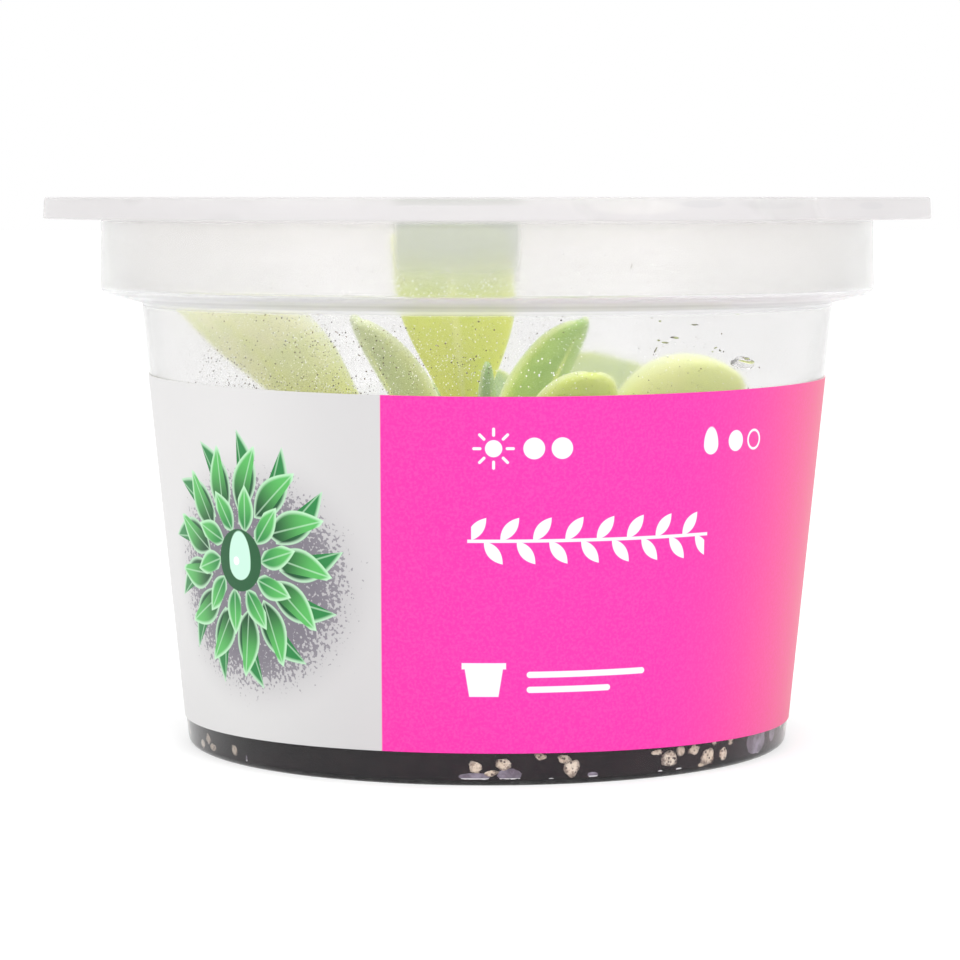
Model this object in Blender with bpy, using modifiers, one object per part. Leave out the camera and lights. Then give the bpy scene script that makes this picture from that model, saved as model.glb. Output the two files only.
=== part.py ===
"""Potted butterwort: a rosette of fleshy leaves in dark substrate, in a clear round cup with a press-on lid.

The frame has its origin under the centre of the cup's base, +Z up, with the label's front toward -Y.
"""

import math
import random

import bmesh
import bpy
from mathutils import Matrix, Vector, noise

MM = 0.001

# Whole object
HEIGHT = 61.8 * MM
GAP = 0.3 * MM
STEPS = 56
FILLET_STEPS = 2

# Cup: the body's outer radius grows evenly from the base to the ledge
WALL = 0.6 * MM
BODY_BASE_RADIUS = 34.04 * MM
BODY_SLOPE = 0.0997
LEDGE_Z = 50.05 * MM
COLLAR_CORNER_Z = 51.1 * MM
COLLAR_BOTTOM_RADIUS = 43.7 * MM
COLLAR_TOP_RADIUS = 43.5 * MM
FLANGE_RADIUS = 48.8 * MM
FLANGE_THICK = 1.0 * MM
BASE_FILLET = 0.9 * MM
FOOT_INNER_RADIUS = 30.5 * MM
FOOT_HEIGHT = 0.6 * MM
LEDGE_FILLET = 0.2 * MM
COLLAR_FILLET = 1.2 * MM
FLANGE_FILLET = 0.3 * MM
MOUTH_FILLET = 0.5 * MM

# Lid
LID_RADIUS = 50.0 * MM
LID_TAPER = 0.15 * MM
LID_THICK = 0.9 * MM
SKIRT_DEPTH = 2.4 * MM
SKIRT_THICK = 0.8 * MM
PLUG_RADIUS = 41.3 * MM
PLUG_THICK = 0.8 * MM
PLUG_DEPTH = 10.4 * MM
PANEL_DROP = 1.6 * MM
PANEL_THICK = 0.7 * MM
LID_FILLET = 0.3 * MM
RECESS_FILLET = 0.4 * MM

# Label: it reaches round the front and both sides, and leaves the back clear
LABEL_TOP_Z = 41.3 * MM
LABEL_BOTTOM_Z = 3.6 * MM
LABEL_BOW = 0.5 * MM
LABEL_LEAN = 0.15 * MM
LABEL_REACH = math.radians(96)
LABEL_THICK = 0.25 * MM
LABEL_ROWS = 2
LABEL_COLUMNS = 32

# Substrate and its grains
SOIL_Z = 21.0 * MM
SOIL_RELIEF = 0.6 * MM
SOIL_SWELL = 9 * MM
SOIL_RINGS = 5
SOIL_CHAMFER = 0.3 * MM
GRAIN_COUNT = 40
GRAIN_RADIUS = (0.8 * MM, 1.4 * MM)
GRAIN_STRETCH = (0.75, 1.15)
GRAIN_STEM_ROOM = 2.4 * MM
GRAIN_WALL_ROOM = 2.0 * MM
GRAIN_RISE = 0.15
GOLDEN_ANGLE = math.radians(137.508)

# Crown, a short stem that narrows upward from the rootstock
CROWN_RADIUS = 4.4 * MM
CROWN_BOTTOM_Z = 14.0 * MM
CROWN_NECK_Z = 21.5 * MM
CROWN_TOP_Z = 29.0 * MM
CROWN_TOP_RADIUS = 2.1 * MM
CROWN_TOP_FILLET = 1.2 * MM
CROWN_NECK_FILLET = 1.0 * MM
CROWN_BOTTOM_FILLET = 2.0 * MM
CROWN_STEPS = 24

# Leaf blades
BLADE_THICK = 0.85 * MM
BLADE_COLUMNS = 6
BLADE_ROWS = 10
PETIOLE_SHARE = 0.26
ROWS_TOWARD_TIP = 1.35
TURNED_BY = 0.8
BLUNT_TIP = 0.1
EDGE_DRAW_IN = 0.12
CUP_LEVEL = 0.3

# Blade outlines: where along the leaf it starts to widen, is widest and starts to round off
TALL = (0.34, 0.78, 0.94)
BROAD = (0.20, 0.86, 0.93)
FOLDED = (0.00, 0.62, 0.66)
SLIM = (0.05, 0.50, 0.56)
ROUND = (0.12, 0.76, 0.78)
OVAL = (0.12, 0.74, 0.76)
WIDE = (0.12, 0.76, 0.82)
INNER = (0.10, 0.66, 0.70)

# Each leaf: base azimuth in degrees, base height, tip, direction across the tip in degrees, full width,
# outline, bow, cupping and skew. Heights, tip, width and bow are in millimetres. A leaf with a positive
# bow leans out first and then rises. A skewed blade ends level instead of square to its length.
LEAVES = (
    (-100, 26.4, (-4.1, -34.6, 59.2), -6, 13.6, TALL, 5.0, 0.16, 0.0),
    (-150, 24.0, (-30.0, -16.2, 51.2), -34, 18.2, BROAD, 1.0, 0.14, 1.0),
    (-170, 26.4, (-13.8, -24.0, 48.9), -64, 10.6, FOLDED, -1.5, 0.34, 0.0),
    (-50, 26.4, (9.9, -22.6, 48.6), 50, 9.8, SLIM, -4.4, 0.36, 0.0),
    (-86, 24.0, (0.0, -27.6, 44.4), 42, 2.8, SLIM, 1.5, 0.40, 0.0),
    (-62, 21.9, (11.0, -29.6, 43.3), 14, 10.6, OVAL, 2.0, 0.22, 0.0),
    (-30, 24.0, (27.2, -10.2, 42.8), 30, 19.0, ROUND, 1.0, 0.14, 0.0),
    (62, 21.9, (16.0, 18.5, 42.6), 160, 16.4, WIDE, 0.5, 0.18, 0.0),
    (24, 24.0, (27.5, 8.5, 38.0), 100, 12.0, OVAL, 1.5, 0.22, 0.0),
    (92, 24.0, (-2.0, 27.5, 41.0), 176, 12.5, ROUND, 1.5, 0.18, 0.0),
    (150, 24.0, (-22.5, 15.5, 40.6), 236, 12.0, ROUND, 1.0, 0.22, 0.0),
    (-4, 21.9, (31.0, -3.0, 32.5), 84, 12.0, OVAL, 3.0, 0.20, 0.0),
    (122, 21.9, (-13.5, 27.5, 34.0), 206, 11.5, OVAL, 3.0, 0.20, 0.0),
    (180, 21.9, (-31.0, 1.5, 36.0), 268, 12.5, ROUND, 2.5, 0.20, 0.0),
    (-124, 21.9, (-15.0, -28.0, 34.5), -30, 10.5, OVAL, 2.5, 0.22, 0.0),
    (70, 28.0, (3.0, 7.5, 39.0), 160, 5.0, INNER, 0.5, 0.40, 0.0),
    (230, 28.0, (-4.5, -4.0, 37.0), 310, 4.4, INNER, 0.5, 0.40, 0.0),
)


def clear_scene():
    for obj in list(bpy.data.objects):
        bpy.data.objects.remove(obj, do_unlink=True)


def collection(name, hidden=False):
    group = bpy.data.collections.new(name)
    bpy.context.scene.collection.children.link(group)
    group.hide_render = hidden
    return group


def material(name, colour, roughness, transmission=0.0):
    mat = bpy.data.materials.new(name)
    mat.use_nodes = True
    shader = mat.node_tree.nodes["Principled BSDF"]
    shader.inputs["Base Color"].default_value = (*colour, 1.0)
    shader.inputs["Roughness"].default_value = roughness
    shader.inputs["Metallic"].default_value = 0.0
    shader.inputs["Transmission Weight"].default_value = transmission
    return mat


def add_object(name, mesh, group, mat):
    obj = bpy.data.objects.new(name, mesh)
    group.objects.link(obj)
    obj.data.materials.append(mat)
    return obj


def mesh_from_bmesh(name, bm):
    mesh = bpy.data.meshes.new(name)
    bm.to_mesh(mesh)
    bm.free()
    return mesh


def body_radius(z):
    """Outer radius of the cup's conical body."""
    return BODY_BASE_RADIUS + BODY_SLOPE * z


def foot_step_radius(lift):
    """Outer radius of the step between the foot and the raised floor, at a lift above the cup's underside."""
    return FOOT_INNER_RADIUS + lift * (math.sqrt(2) - 1)


def filleted(corners):
    """Turns (radius, height, fillet) corners into a profile, each fillet an arc tangent to both sides."""
    points = []
    for i, (r, z, fillet) in enumerate(corners):
        corner = Vector((r, z))
        if not fillet:
            points.append(corner)
            continue
        before = (Vector(corners[i - 1][:2]) - corner).normalized()
        after = (Vector(corners[(i + 1) % len(corners)][:2]) - corner).normalized()
        half = before.angle(after) / 2
        centre = corner + (before + after).normalized() * fillet / math.sin(half)
        start = corner + before * fillet / math.tan(half) - centre
        sweep = start.angle_signed(corner + after * fillet / math.tan(half) - centre)
        for k in range(FILLET_STEPS + 1):
            points.append(centre + Matrix.Rotation(-sweep * k / FILLET_STEPS, 2) @ start)
    return [(p.x, p.y) for p in points]


def turned(name, profile, group, mat, steps=STEPS):
    """A profile turned about Z, which runs down its outer side and has both ends on the axis."""
    bm = bmesh.new()
    verts = [bm.verts.new((r, 0.0, z)) for r, z in profile]
    for a, b in zip(verts, verts[1:]):
        bm.edges.new((a, b))
    obj = add_object(name, mesh_from_bmesh(name, bm), group, mat)
    screw = obj.modifiers.new("Turn", "SCREW")
    screw.steps = steps
    screw.render_steps = steps
    screw.use_merge_vertices = True
    screw.merge_threshold = 0.01 * MM
    screw.use_smooth_shade = True
    return obj


def freeze(obj):
    """Replaces an object's mesh with its evaluated one, so that its vertices can be moved by a formula."""
    depsgraph = bpy.context.evaluated_depsgraph_get()
    mesh = bpy.data.meshes.new_from_object(obj.evaluated_get(depsgraph))
    obj.modifiers.clear()
    obj.data = mesh
    return obj


def shade(obj):
    obj.data.shade_smooth()
    obj.data.set_sharp_from_angle(angle=math.radians(35))


def build_cup(group, mat):
    """The cup, whose wall keeps one thickness through the floor, the ledge and round its corners."""
    mouth_z = HEIGHT - LID_THICK - GAP
    flange_z = mouth_z - FLANGE_THICK
    step_r = foot_step_radius(WALL)
    ledge_r = body_radius(LEDGE_Z)
    slope = (COLLAR_CORNER_Z - LEDGE_Z) / (COLLAR_BOTTOM_RADIUS - ledge_r)
    inner_lift = WALL * (math.hypot(1, slope) - slope)
    corners = [
        (0.0, FOOT_HEIGHT + WALL, 0),
        (step_r - FOOT_HEIGHT, FOOT_HEIGHT + WALL, 0),
        (step_r, WALL, 0),
        (body_radius(WALL) - WALL, WALL, BASE_FILLET - WALL),
        (ledge_r - WALL, LEDGE_Z + inner_lift, LEDGE_FILLET + WALL),
        (COLLAR_BOTTOM_RADIUS - WALL, COLLAR_CORNER_Z + inner_lift, COLLAR_FILLET - WALL),
        (COLLAR_TOP_RADIUS - WALL, mouth_z, MOUTH_FILLET),
        (FLANGE_RADIUS, mouth_z, 0),
        (FLANGE_RADIUS, flange_z, 0),
        (COLLAR_TOP_RADIUS, flange_z, FLANGE_FILLET),
        (COLLAR_BOTTOM_RADIUS, COLLAR_CORNER_Z, COLLAR_FILLET),
        (ledge_r, LEDGE_Z, LEDGE_FILLET),
        (body_radius(0.0), 0.0, BASE_FILLET),
        (FOOT_INNER_RADIUS, 0.0, 0),
        (FOOT_INNER_RADIUS - FOOT_HEIGHT, FOOT_HEIGHT, 0),
        (0.0, FOOT_HEIGHT, 0),
    ]
    return turned("cup", filleted(corners), group, mat)


def build_lid(group, mat):
    skirt_z = HEIGHT - SKIRT_DEPTH
    panel_z = HEIGHT - PANEL_DROP
    plug_z = HEIGHT - PLUG_DEPTH
    corners = [
        (0.0, panel_z, 0),
        (PLUG_RADIUS - PLUG_THICK, panel_z, RECESS_FILLET),
        (PLUG_RADIUS - PLUG_THICK, HEIGHT, LID_FILLET),
        (LID_RADIUS - LID_TAPER, HEIGHT, LID_FILLET),
        (LID_RADIUS, skirt_z, 0),
        (LID_RADIUS - SKIRT_THICK, skirt_z, 0),
        (LID_RADIUS - SKIRT_THICK, HEIGHT - LID_THICK, 0),
        (PLUG_RADIUS, HEIGHT - LID_THICK, LID_FILLET),
        (PLUG_RADIUS, plug_z, LID_FILLET),
        (PLUG_RADIUS - PLUG_THICK, plug_z, 0),
        (PLUG_RADIUS - PLUG_THICK, panel_z - PANEL_THICK, RECESS_FILLET),
        (0.0, panel_z - PANEL_THICK, 0),
    ]
    return turned("lid", filleted(corners), group, mat)


def build_label(group, mat):
    """A thin film round the front of the cone, taller toward its ends and a little higher at the left."""
    bm = bmesh.new()
    columns = []
    for i in range(LABEL_COLUMNS + 1):
        angle = -math.pi / 2 + LABEL_REACH * (2 * i / LABEL_COLUMNS - 1)
        bow = LABEL_BOW * math.cos(angle) ** 2
        lean = LABEL_LEAN * math.cos(angle)
        low = LABEL_BOTTOM_Z - bow - lean
        high = LABEL_TOP_Z + bow - lean
        column = []
        for row in range(LABEL_ROWS + 1):
            z = low + (high - low) * row / LABEL_ROWS
            r = body_radius(z) + GAP
            column.append(bm.verts.new((r * math.cos(angle), r * math.sin(angle), z)))
        columns.append(column)
    for left, right in zip(columns, columns[1:]):
        for k in range(LABEL_ROWS):
            bm.faces.new((left[k], right[k], right[k + 1], left[k + 1]))
    obj = add_object("label", mesh_from_bmesh("label", bm), group, mat)
    solidify = obj.modifiers.new("Paper", "SOLIDIFY")
    solidify.thickness = LABEL_THICK
    solidify.offset = 1.0
    return obj


def soil_height(x, y):
    return SOIL_Z + SOIL_RELIEF * noise.noise(Vector((x, y, 0.0)) / SOIL_SWELL)


def soil_wall_radius(z):
    """Radius of the fill where it meets the cup's wall."""
    return body_radius(z) - WALL - GAP


def build_fill(group, mat):
    """The fill round the rootstock's plain hole, with a low uneven top and a base that follows the floor."""
    low_z = WALL + GAP
    step_r = foot_step_radius(low_z)
    hole_r = CROWN_RADIUS + GAP
    hole_z = CROWN_BOTTOM_Z - GAP
    rim_r = soil_wall_radius(SOIL_Z)
    profile = [(0.0, hole_z), (hole_r, hole_z)]
    profile += [(hole_r + (rim_r - hole_r) * k / SOIL_RINGS, SOIL_Z) for k in range(SOIL_RINGS + 1)]
    profile.append((soil_wall_radius(low_z + SOIL_CHAMFER), low_z + SOIL_CHAMFER))
    profile.append((soil_wall_radius(low_z) - SOIL_CHAMFER, low_z))
    profile.append((step_r, low_z))
    profile.append((step_r - FOOT_HEIGHT, low_z + FOOT_HEIGHT))
    profile.append((0.0, low_z + FOOT_HEIGHT))
    obj = freeze(turned("substrate", profile, group, mat))
    for vert in obj.data.vertices:
        if vert.co.z > SOIL_Z - GAP:
            vert.co.z = soil_height(vert.co.x, vert.co.y)
    return obj


def build_grains(grains, mat):
    """Coarse grains spread over the fill by the golden angle, each half sunk in it."""
    rng = random.Random(7)
    inner = CROWN_RADIUS + GAP + GRAIN_STEM_ROOM
    outer = soil_wall_radius(SOIL_Z) - GRAIN_WALL_ROOM
    for i in range(GRAIN_COUNT):
        distance = math.sqrt(inner**2 + (outer**2 - inner**2) * (i + 0.5) / GRAIN_COUNT)
        x = distance * math.cos(i * GOLDEN_ANGLE)
        y = distance * math.sin(i * GOLDEN_ANGLE)
        size = rng.uniform(*GRAIN_RADIUS)
        bm = bmesh.new()
        bmesh.ops.create_icosphere(bm, subdivisions=1, radius=size)
        bmesh.ops.scale(bm, vec=[rng.uniform(*GRAIN_STRETCH) for _ in "xyz"], verts=bm.verts)
        turn = Matrix.Rotation(rng.uniform(0.0, math.tau), 3, Vector((rng.random(), rng.random(), 1.0)))
        bmesh.ops.rotate(bm, cent=(0, 0, 0), matrix=turn, verts=bm.verts)
        grain = add_object(f"grain_{i:02d}", mesh_from_bmesh("grain", bm), grains, mat)
        grain.location = (x, y, soil_height(x, y) + GRAIN_RISE * size)
    bpy.context.view_layer.update()


def build_substrate(group, mat):
    obj = build_fill(group, mat)
    grains = collection("grains", hidden=True)
    build_grains(grains, mat)
    union = obj.modifiers.new("Grains", "BOOLEAN")
    union.operation = "UNION"
    union.operand_type = "COLLECTION"
    union.collection = grains
    union.solver = "MANIFOLD"
    freeze(obj)
    for grain in list(grains.objects):
        bpy.data.objects.remove(grain, do_unlink=True)
    bpy.data.collections.remove(grains)
    return obj


def crown_radius(z):
    """Radius of the crown above the substrate, narrowing from its neck to its top."""
    share = min(max((z - CROWN_NECK_Z) / (CROWN_TOP_Z - CROWN_NECK_Z), 0.0), 1.0)
    return CROWN_RADIUS + (CROWN_TOP_RADIUS - CROWN_RADIUS) * share


def build_crown(group, mat):
    corners = [
        (0.0, CROWN_TOP_Z, 0),
        (CROWN_TOP_RADIUS, CROWN_TOP_Z, CROWN_TOP_FILLET),
        (CROWN_RADIUS, CROWN_NECK_Z, CROWN_NECK_FILLET),
        (CROWN_RADIUS, CROWN_BOTTOM_Z, CROWN_BOTTOM_FILLET),
        (0.0, CROWN_BOTTOM_Z, 0),
    ]
    return turned("crown", filleted(corners), group, mat, steps=CROWN_STEPS)


def horizontal(degrees):
    angle = math.radians(degrees)
    return Vector((math.cos(angle), math.sin(angle), 0.0))


def smooth(x):
    x = min(max(x, 0.0), 1.0)
    return x * x * (3 - 2 * x)


def blade_half_width(t, width, outline):
    """Half width along a blade: a narrow stalk, an even widening, and a round end."""
    widens_from, widest_at, rounds_from = outline
    flare = PETIOLE_SHARE + (1 - PETIOLE_SHARE) * smooth((t - widens_from) / (widest_at - widens_from))
    if t > rounds_from:
        flare *= math.sqrt(max(1 - ((t - rounds_from) / (1 - rounds_from)) ** 2, BLUNT_TIP))
    return width / 2 * flare


def blade_point(t, s, leaf):
    """A point of a leaf's middle surface, t along it from 0 to 1 and s across it from -1 to 1."""
    azimuth, base_z, tip, across, width, outline, bow, cupping, skew = leaf
    base_z = base_z * MM
    start = horizontal(azimuth) * (crown_radius(base_z) + GAP + BLADE_THICK / 2)
    start.z = base_z
    end = Vector(tip) * MM
    chord = end - start
    side = chord.cross(Vector((0, 0, 1))).normalized()
    sag = side.cross(chord).normalized()
    middle = (start + end) / 2 - sag * bow * MM
    spine = start * (1 - t) ** 2 + middle * 2 * t * (1 - t) + end * t**2
    tangent = ((middle - start) * (1 - t) + (end - middle) * t).normalized()
    lateral = horizontal(azimuth + 90).lerp(horizontal(across), smooth(t / TURNED_BY))
    square = (lateral - tangent * lateral.dot(tangent)).normalized()
    inward = tangent.cross(square)
    lateral = square.lerp(lateral, skew * smooth(t))
    half = blade_half_width(t, width * MM, outline)
    across_part = lateral * half * s * (1 - EDGE_DRAW_IN * cupping * s * s)
    return spine + across_part + inward * half * cupping * (s * s - CUP_LEVEL)


def build_leaf(name, leaf, group, mat):
    bm = bmesh.new()
    bmesh.ops.create_grid(bm, x_segments=BLADE_COLUMNS, y_segments=BLADE_ROWS, size=1.0)
    for vert in bm.verts:
        along = (vert.co.y + 1) / 2
        vert.co = blade_point(1 - (1 - along) ** ROWS_TOWARD_TIP, vert.co.x, leaf)
    bmesh.ops.triangulate(bm, faces=bm.faces)
    obj = add_object(name, mesh_from_bmesh(name, bm), group, mat)
    solidify = obj.modifiers.new("Flesh", "SOLIDIFY")
    solidify.thickness = BLADE_THICK
    solidify.offset = 0.0
    shade(obj)
    return obj


def main():
    clear_scene()
    plant = collection("potted_butterwort")
    clear_plastic = material("clear_plastic", (0.93, 0.94, 0.94), 0.08, transmission=0.95)
    lid_plastic = material("lid_plastic", (0.91, 0.92, 0.92), 0.12, transmission=0.9)
    label_film = material("label_film", (0.97, 0.13, 0.5), 0.35)
    peat = material("peat", (0.036, 0.028, 0.036), 0.75)
    stem_green = material("stem_green", (0.33, 0.4, 0.13), 0.45)
    leaf_green = material("leaf_green", (0.5, 0.62, 0.24), 0.4)

    build_cup(plant, clear_plastic)
    build_lid(plant, lid_plastic)
    build_label(plant, label_film)
    build_substrate(plant, peat)
    build_crown(plant, stem_green)
    for number, leaf in enumerate(LEAVES, 1):
        build_leaf(f"leaf_{number:02d}", leaf, plant, leaf_green)


main()
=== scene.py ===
"""Finishes for the potted butterwort: clear cup and lid, printed label, wet substrate, leaves and dew."""
import math
import random
from functools import reduce

import bmesh
import bpy
from mathutils import Matrix, Vector, noise


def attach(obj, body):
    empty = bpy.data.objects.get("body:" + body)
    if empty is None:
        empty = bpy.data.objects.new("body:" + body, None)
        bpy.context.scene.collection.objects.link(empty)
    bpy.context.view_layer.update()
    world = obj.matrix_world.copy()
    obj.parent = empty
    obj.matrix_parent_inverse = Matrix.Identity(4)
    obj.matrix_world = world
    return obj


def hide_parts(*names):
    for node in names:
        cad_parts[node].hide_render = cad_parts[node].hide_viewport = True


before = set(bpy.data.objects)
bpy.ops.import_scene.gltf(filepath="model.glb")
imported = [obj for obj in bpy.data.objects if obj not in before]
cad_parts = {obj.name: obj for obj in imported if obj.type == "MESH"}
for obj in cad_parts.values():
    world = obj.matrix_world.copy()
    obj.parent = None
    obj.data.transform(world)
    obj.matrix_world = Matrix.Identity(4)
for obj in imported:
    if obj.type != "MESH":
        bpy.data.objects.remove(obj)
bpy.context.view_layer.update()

MM = 0.001

# Sizes in millimetres, as the solids have them: the cup first
HEIGHT = 61.8
GAP = 0.3
WALL = 0.6
BODY_BASE_RADIUS = 34.04
BODY_SLOPE = 0.0997
LEDGE_Z = 50.05
COLLAR_BOTTOM_RADIUS = 43.7
COLLAR_TOP_RADIUS = 43.5
FLANGE_RADIUS = 48.8
FLANGE_THICK = 1.0
BASE_FILLET = 0.9
FOOT_INNER_RADIUS = 30.5
FOOT_HEIGHT = 0.6
LEDGE_FILLET = 0.2
COLLAR_CORNER_Z = 51.1
COLLAR_FILLET = 1.2
FLANGE_FILLET = 0.3
MOUTH_FILLET = 0.5
SOFT_FILLET = 0.3
SHARP_FILLET = 0.15
LONGEST_SIDE = 6.0

# The lid, with its plug, the ring that hangs inside the collar
LID_RADIUS = 50.0
LID_TAPER = 0.15
LID_THICK = 0.9
SKIRT_DEPTH = 2.4
SKIRT_THICK = 0.8
PLUG_RADIUS = 41.3
PLUG_THICK = 0.8
PLUG_DEPTH = 10.4
PANEL_DROP = 1.6
PANEL_THICK = 0.7
PANEL_FILLET = 0.4
LID_INNER_FILLET = 0.2

# The label, which is thinner here than in the solids and lies on the cup
LABEL_TOP_Z = 41.3
LABEL_BOTTOM_Z = 3.6
LABEL_BOW = 0.5
LABEL_LEAN = 0.15
LABEL_REACH = 96.0
LABEL_LIFT = 0.05
LABEL_FILM = 0.12
LABEL_COLUMNS = 220
LABEL_ROWS = 22

# The substrate, which is pressed a little into the cup's inner face, the crown and the leaves
SOIL_Z = 21.0
SOIL_RELIEF = 0.6
WET_PRESS = 0.03
CROWN_RADIUS = 4.4
CROWN_BOTTOM_Z = 14.0
CROWN_NECK_Z = 21.5
CROWN_TOP_Z = 29.0
CROWN_TOP_RADIUS = 2.1
CROWN_TOP_FILLET = 1.2
CROWN_NECK_FILLET = 1.0
CROWN_FOOT_FILLET = 2.0
CROWN_LONGEST_SIDE = 0.8
BLADE_THICK = 0.85
PETIOLE_SHARE = 0.26

# Steps round the turned shapes, along their fillets and in the substrate's profile
TURN_STEPS = 192
FILLET_STEPS = 8
FILL_TURN_STEPS = 200
FILL_RINGS = 44
FILL_SIDE_ROWS = 16
FILL_CORNER_STEPS = 8
CROWN_TURN_STEPS = 64

# Blade outlines: where along the leaf it starts to widen, is widest and starts to round off
TALL = (0.34, 0.78, 0.94)
BROAD = (0.20, 0.86, 0.93)
FOLDED = (0.00, 0.62, 0.66)
SLIM = (0.05, 0.50, 0.56)
ROUND = (0.12, 0.76, 0.78)
OVAL = (0.12, 0.74, 0.76)
WIDE = (0.12, 0.76, 0.82)
INNER = (0.10, 0.66, 0.70)

# Each leaf as in the solids: base azimuth in degrees, base height, tip, direction across the tip, full width,
# outline, bow, cupping and skew. Its tone comes last: -1 grey-green, 0 blue-green, 1 yellow-green, 2 cream
LEAVES = (
    (-100, 26.4, (-4.1, -34.6, 59.2), -6, 13.6, TALL, 5.0, 0.16, 0.0, 0.9),
    (-150, 24.0, (-30.0, -16.2, 51.2), -34, 18.2, BROAD, 1.0, 0.14, 1.0, 1.9),
    (-170, 26.4, (-13.8, -24.0, 48.9), -64, 10.6, FOLDED, -1.5, 0.34, 0.0, -0.75),
    (-50, 26.4, (9.9, -22.6, 48.6), 50, 9.8, SLIM, -4.4, 0.36, 0.0, 0.25),
    (-86, 24.0, (0.0, -27.6, 44.4), 42, 2.8, SLIM, 1.5, 0.40, 0.0, 0.1),
    (-62, 21.9, (11.0, -29.6, 43.3), 14, 10.6, OVAL, 2.0, 0.22, 0.0, 0.7),
    (-30, 24.0, (27.2, -10.2, 42.8), 30, 19.0, ROUND, 1.0, 0.14, 0.0, 1.5),
    (62, 21.9, (16.0, 18.5, 42.6), 160, 16.4, WIDE, 0.5, 0.18, 0.0, -0.4),
    (24, 24.0, (27.5, 8.5, 38.0), 100, 12.0, OVAL, 1.5, 0.22, 0.0, 0.5),
    (92, 24.0, (-2.0, 27.5, 41.0), 176, 12.5, ROUND, 1.5, 0.18, 0.0, 0.1),
    (150, 24.0, (-22.5, 15.5, 40.6), 236, 12.0, ROUND, 1.0, 0.22, 0.0, 0.45),
    (-4, 21.9, (31.0, -3.0, 32.5), 84, 12.0, OVAL, 3.0, 0.20, 0.0, 0.6),
    (122, 21.9, (-13.5, 27.5, 34.0), 206, 11.5, OVAL, 3.0, 0.20, 0.0, 0.8),
    (180, 21.9, (-31.0, 1.5, 36.0), 268, 12.5, ROUND, 2.5, 0.20, 0.0, 0.55),
    (-124, 21.9, (-15.0, -28.0, 34.5), -30, 10.5, OVAL, 2.5, 0.22, 0.0, 0.6),
    (70, 28.0, (3.0, 7.5, 39.0), 160, 5.0, INNER, 0.5, 0.40, 0.0, 0.95),
    (230, 28.0, (-4.5, -4.0, 37.0), 310, 4.4, INNER, 0.5, 0.40, 0.0, 0.95),
)


class Wire:
    """A shader socket whose arithmetic adds Math nodes."""

    def __init__(self, shader, socket):
        self.shader = shader
        self.socket = socket

    def math(self, operation, *others):
        return self.shader.wire("ShaderNodeMath", {"operation": operation}, dict(enumerate((self, *others))))

    def flipped(self, operation, other):
        return self.shader.wire("ShaderNodeMath", {"operation": operation}, {0: other, 1: self})

    def __add__(self, other):
        return self.math("ADD", other)

    def __radd__(self, other):
        return self.flipped("ADD", other)

    def __sub__(self, other):
        return self.math("SUBTRACT", other)

    def __rsub__(self, other):
        return self.flipped("SUBTRACT", other)

    def __mul__(self, other):
        return self.math("MULTIPLY", other)

    def __rmul__(self, other):
        return self.flipped("MULTIPLY", other)

    def __truediv__(self, other):
        return self.math("DIVIDE", other)

    def __pow__(self, other):
        return self.math("POWER", other)

    def __abs__(self):
        return self.math("ABSOLUTE")

    def __neg__(self):
        return self.math("MULTIPLY", -1.0)


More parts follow.
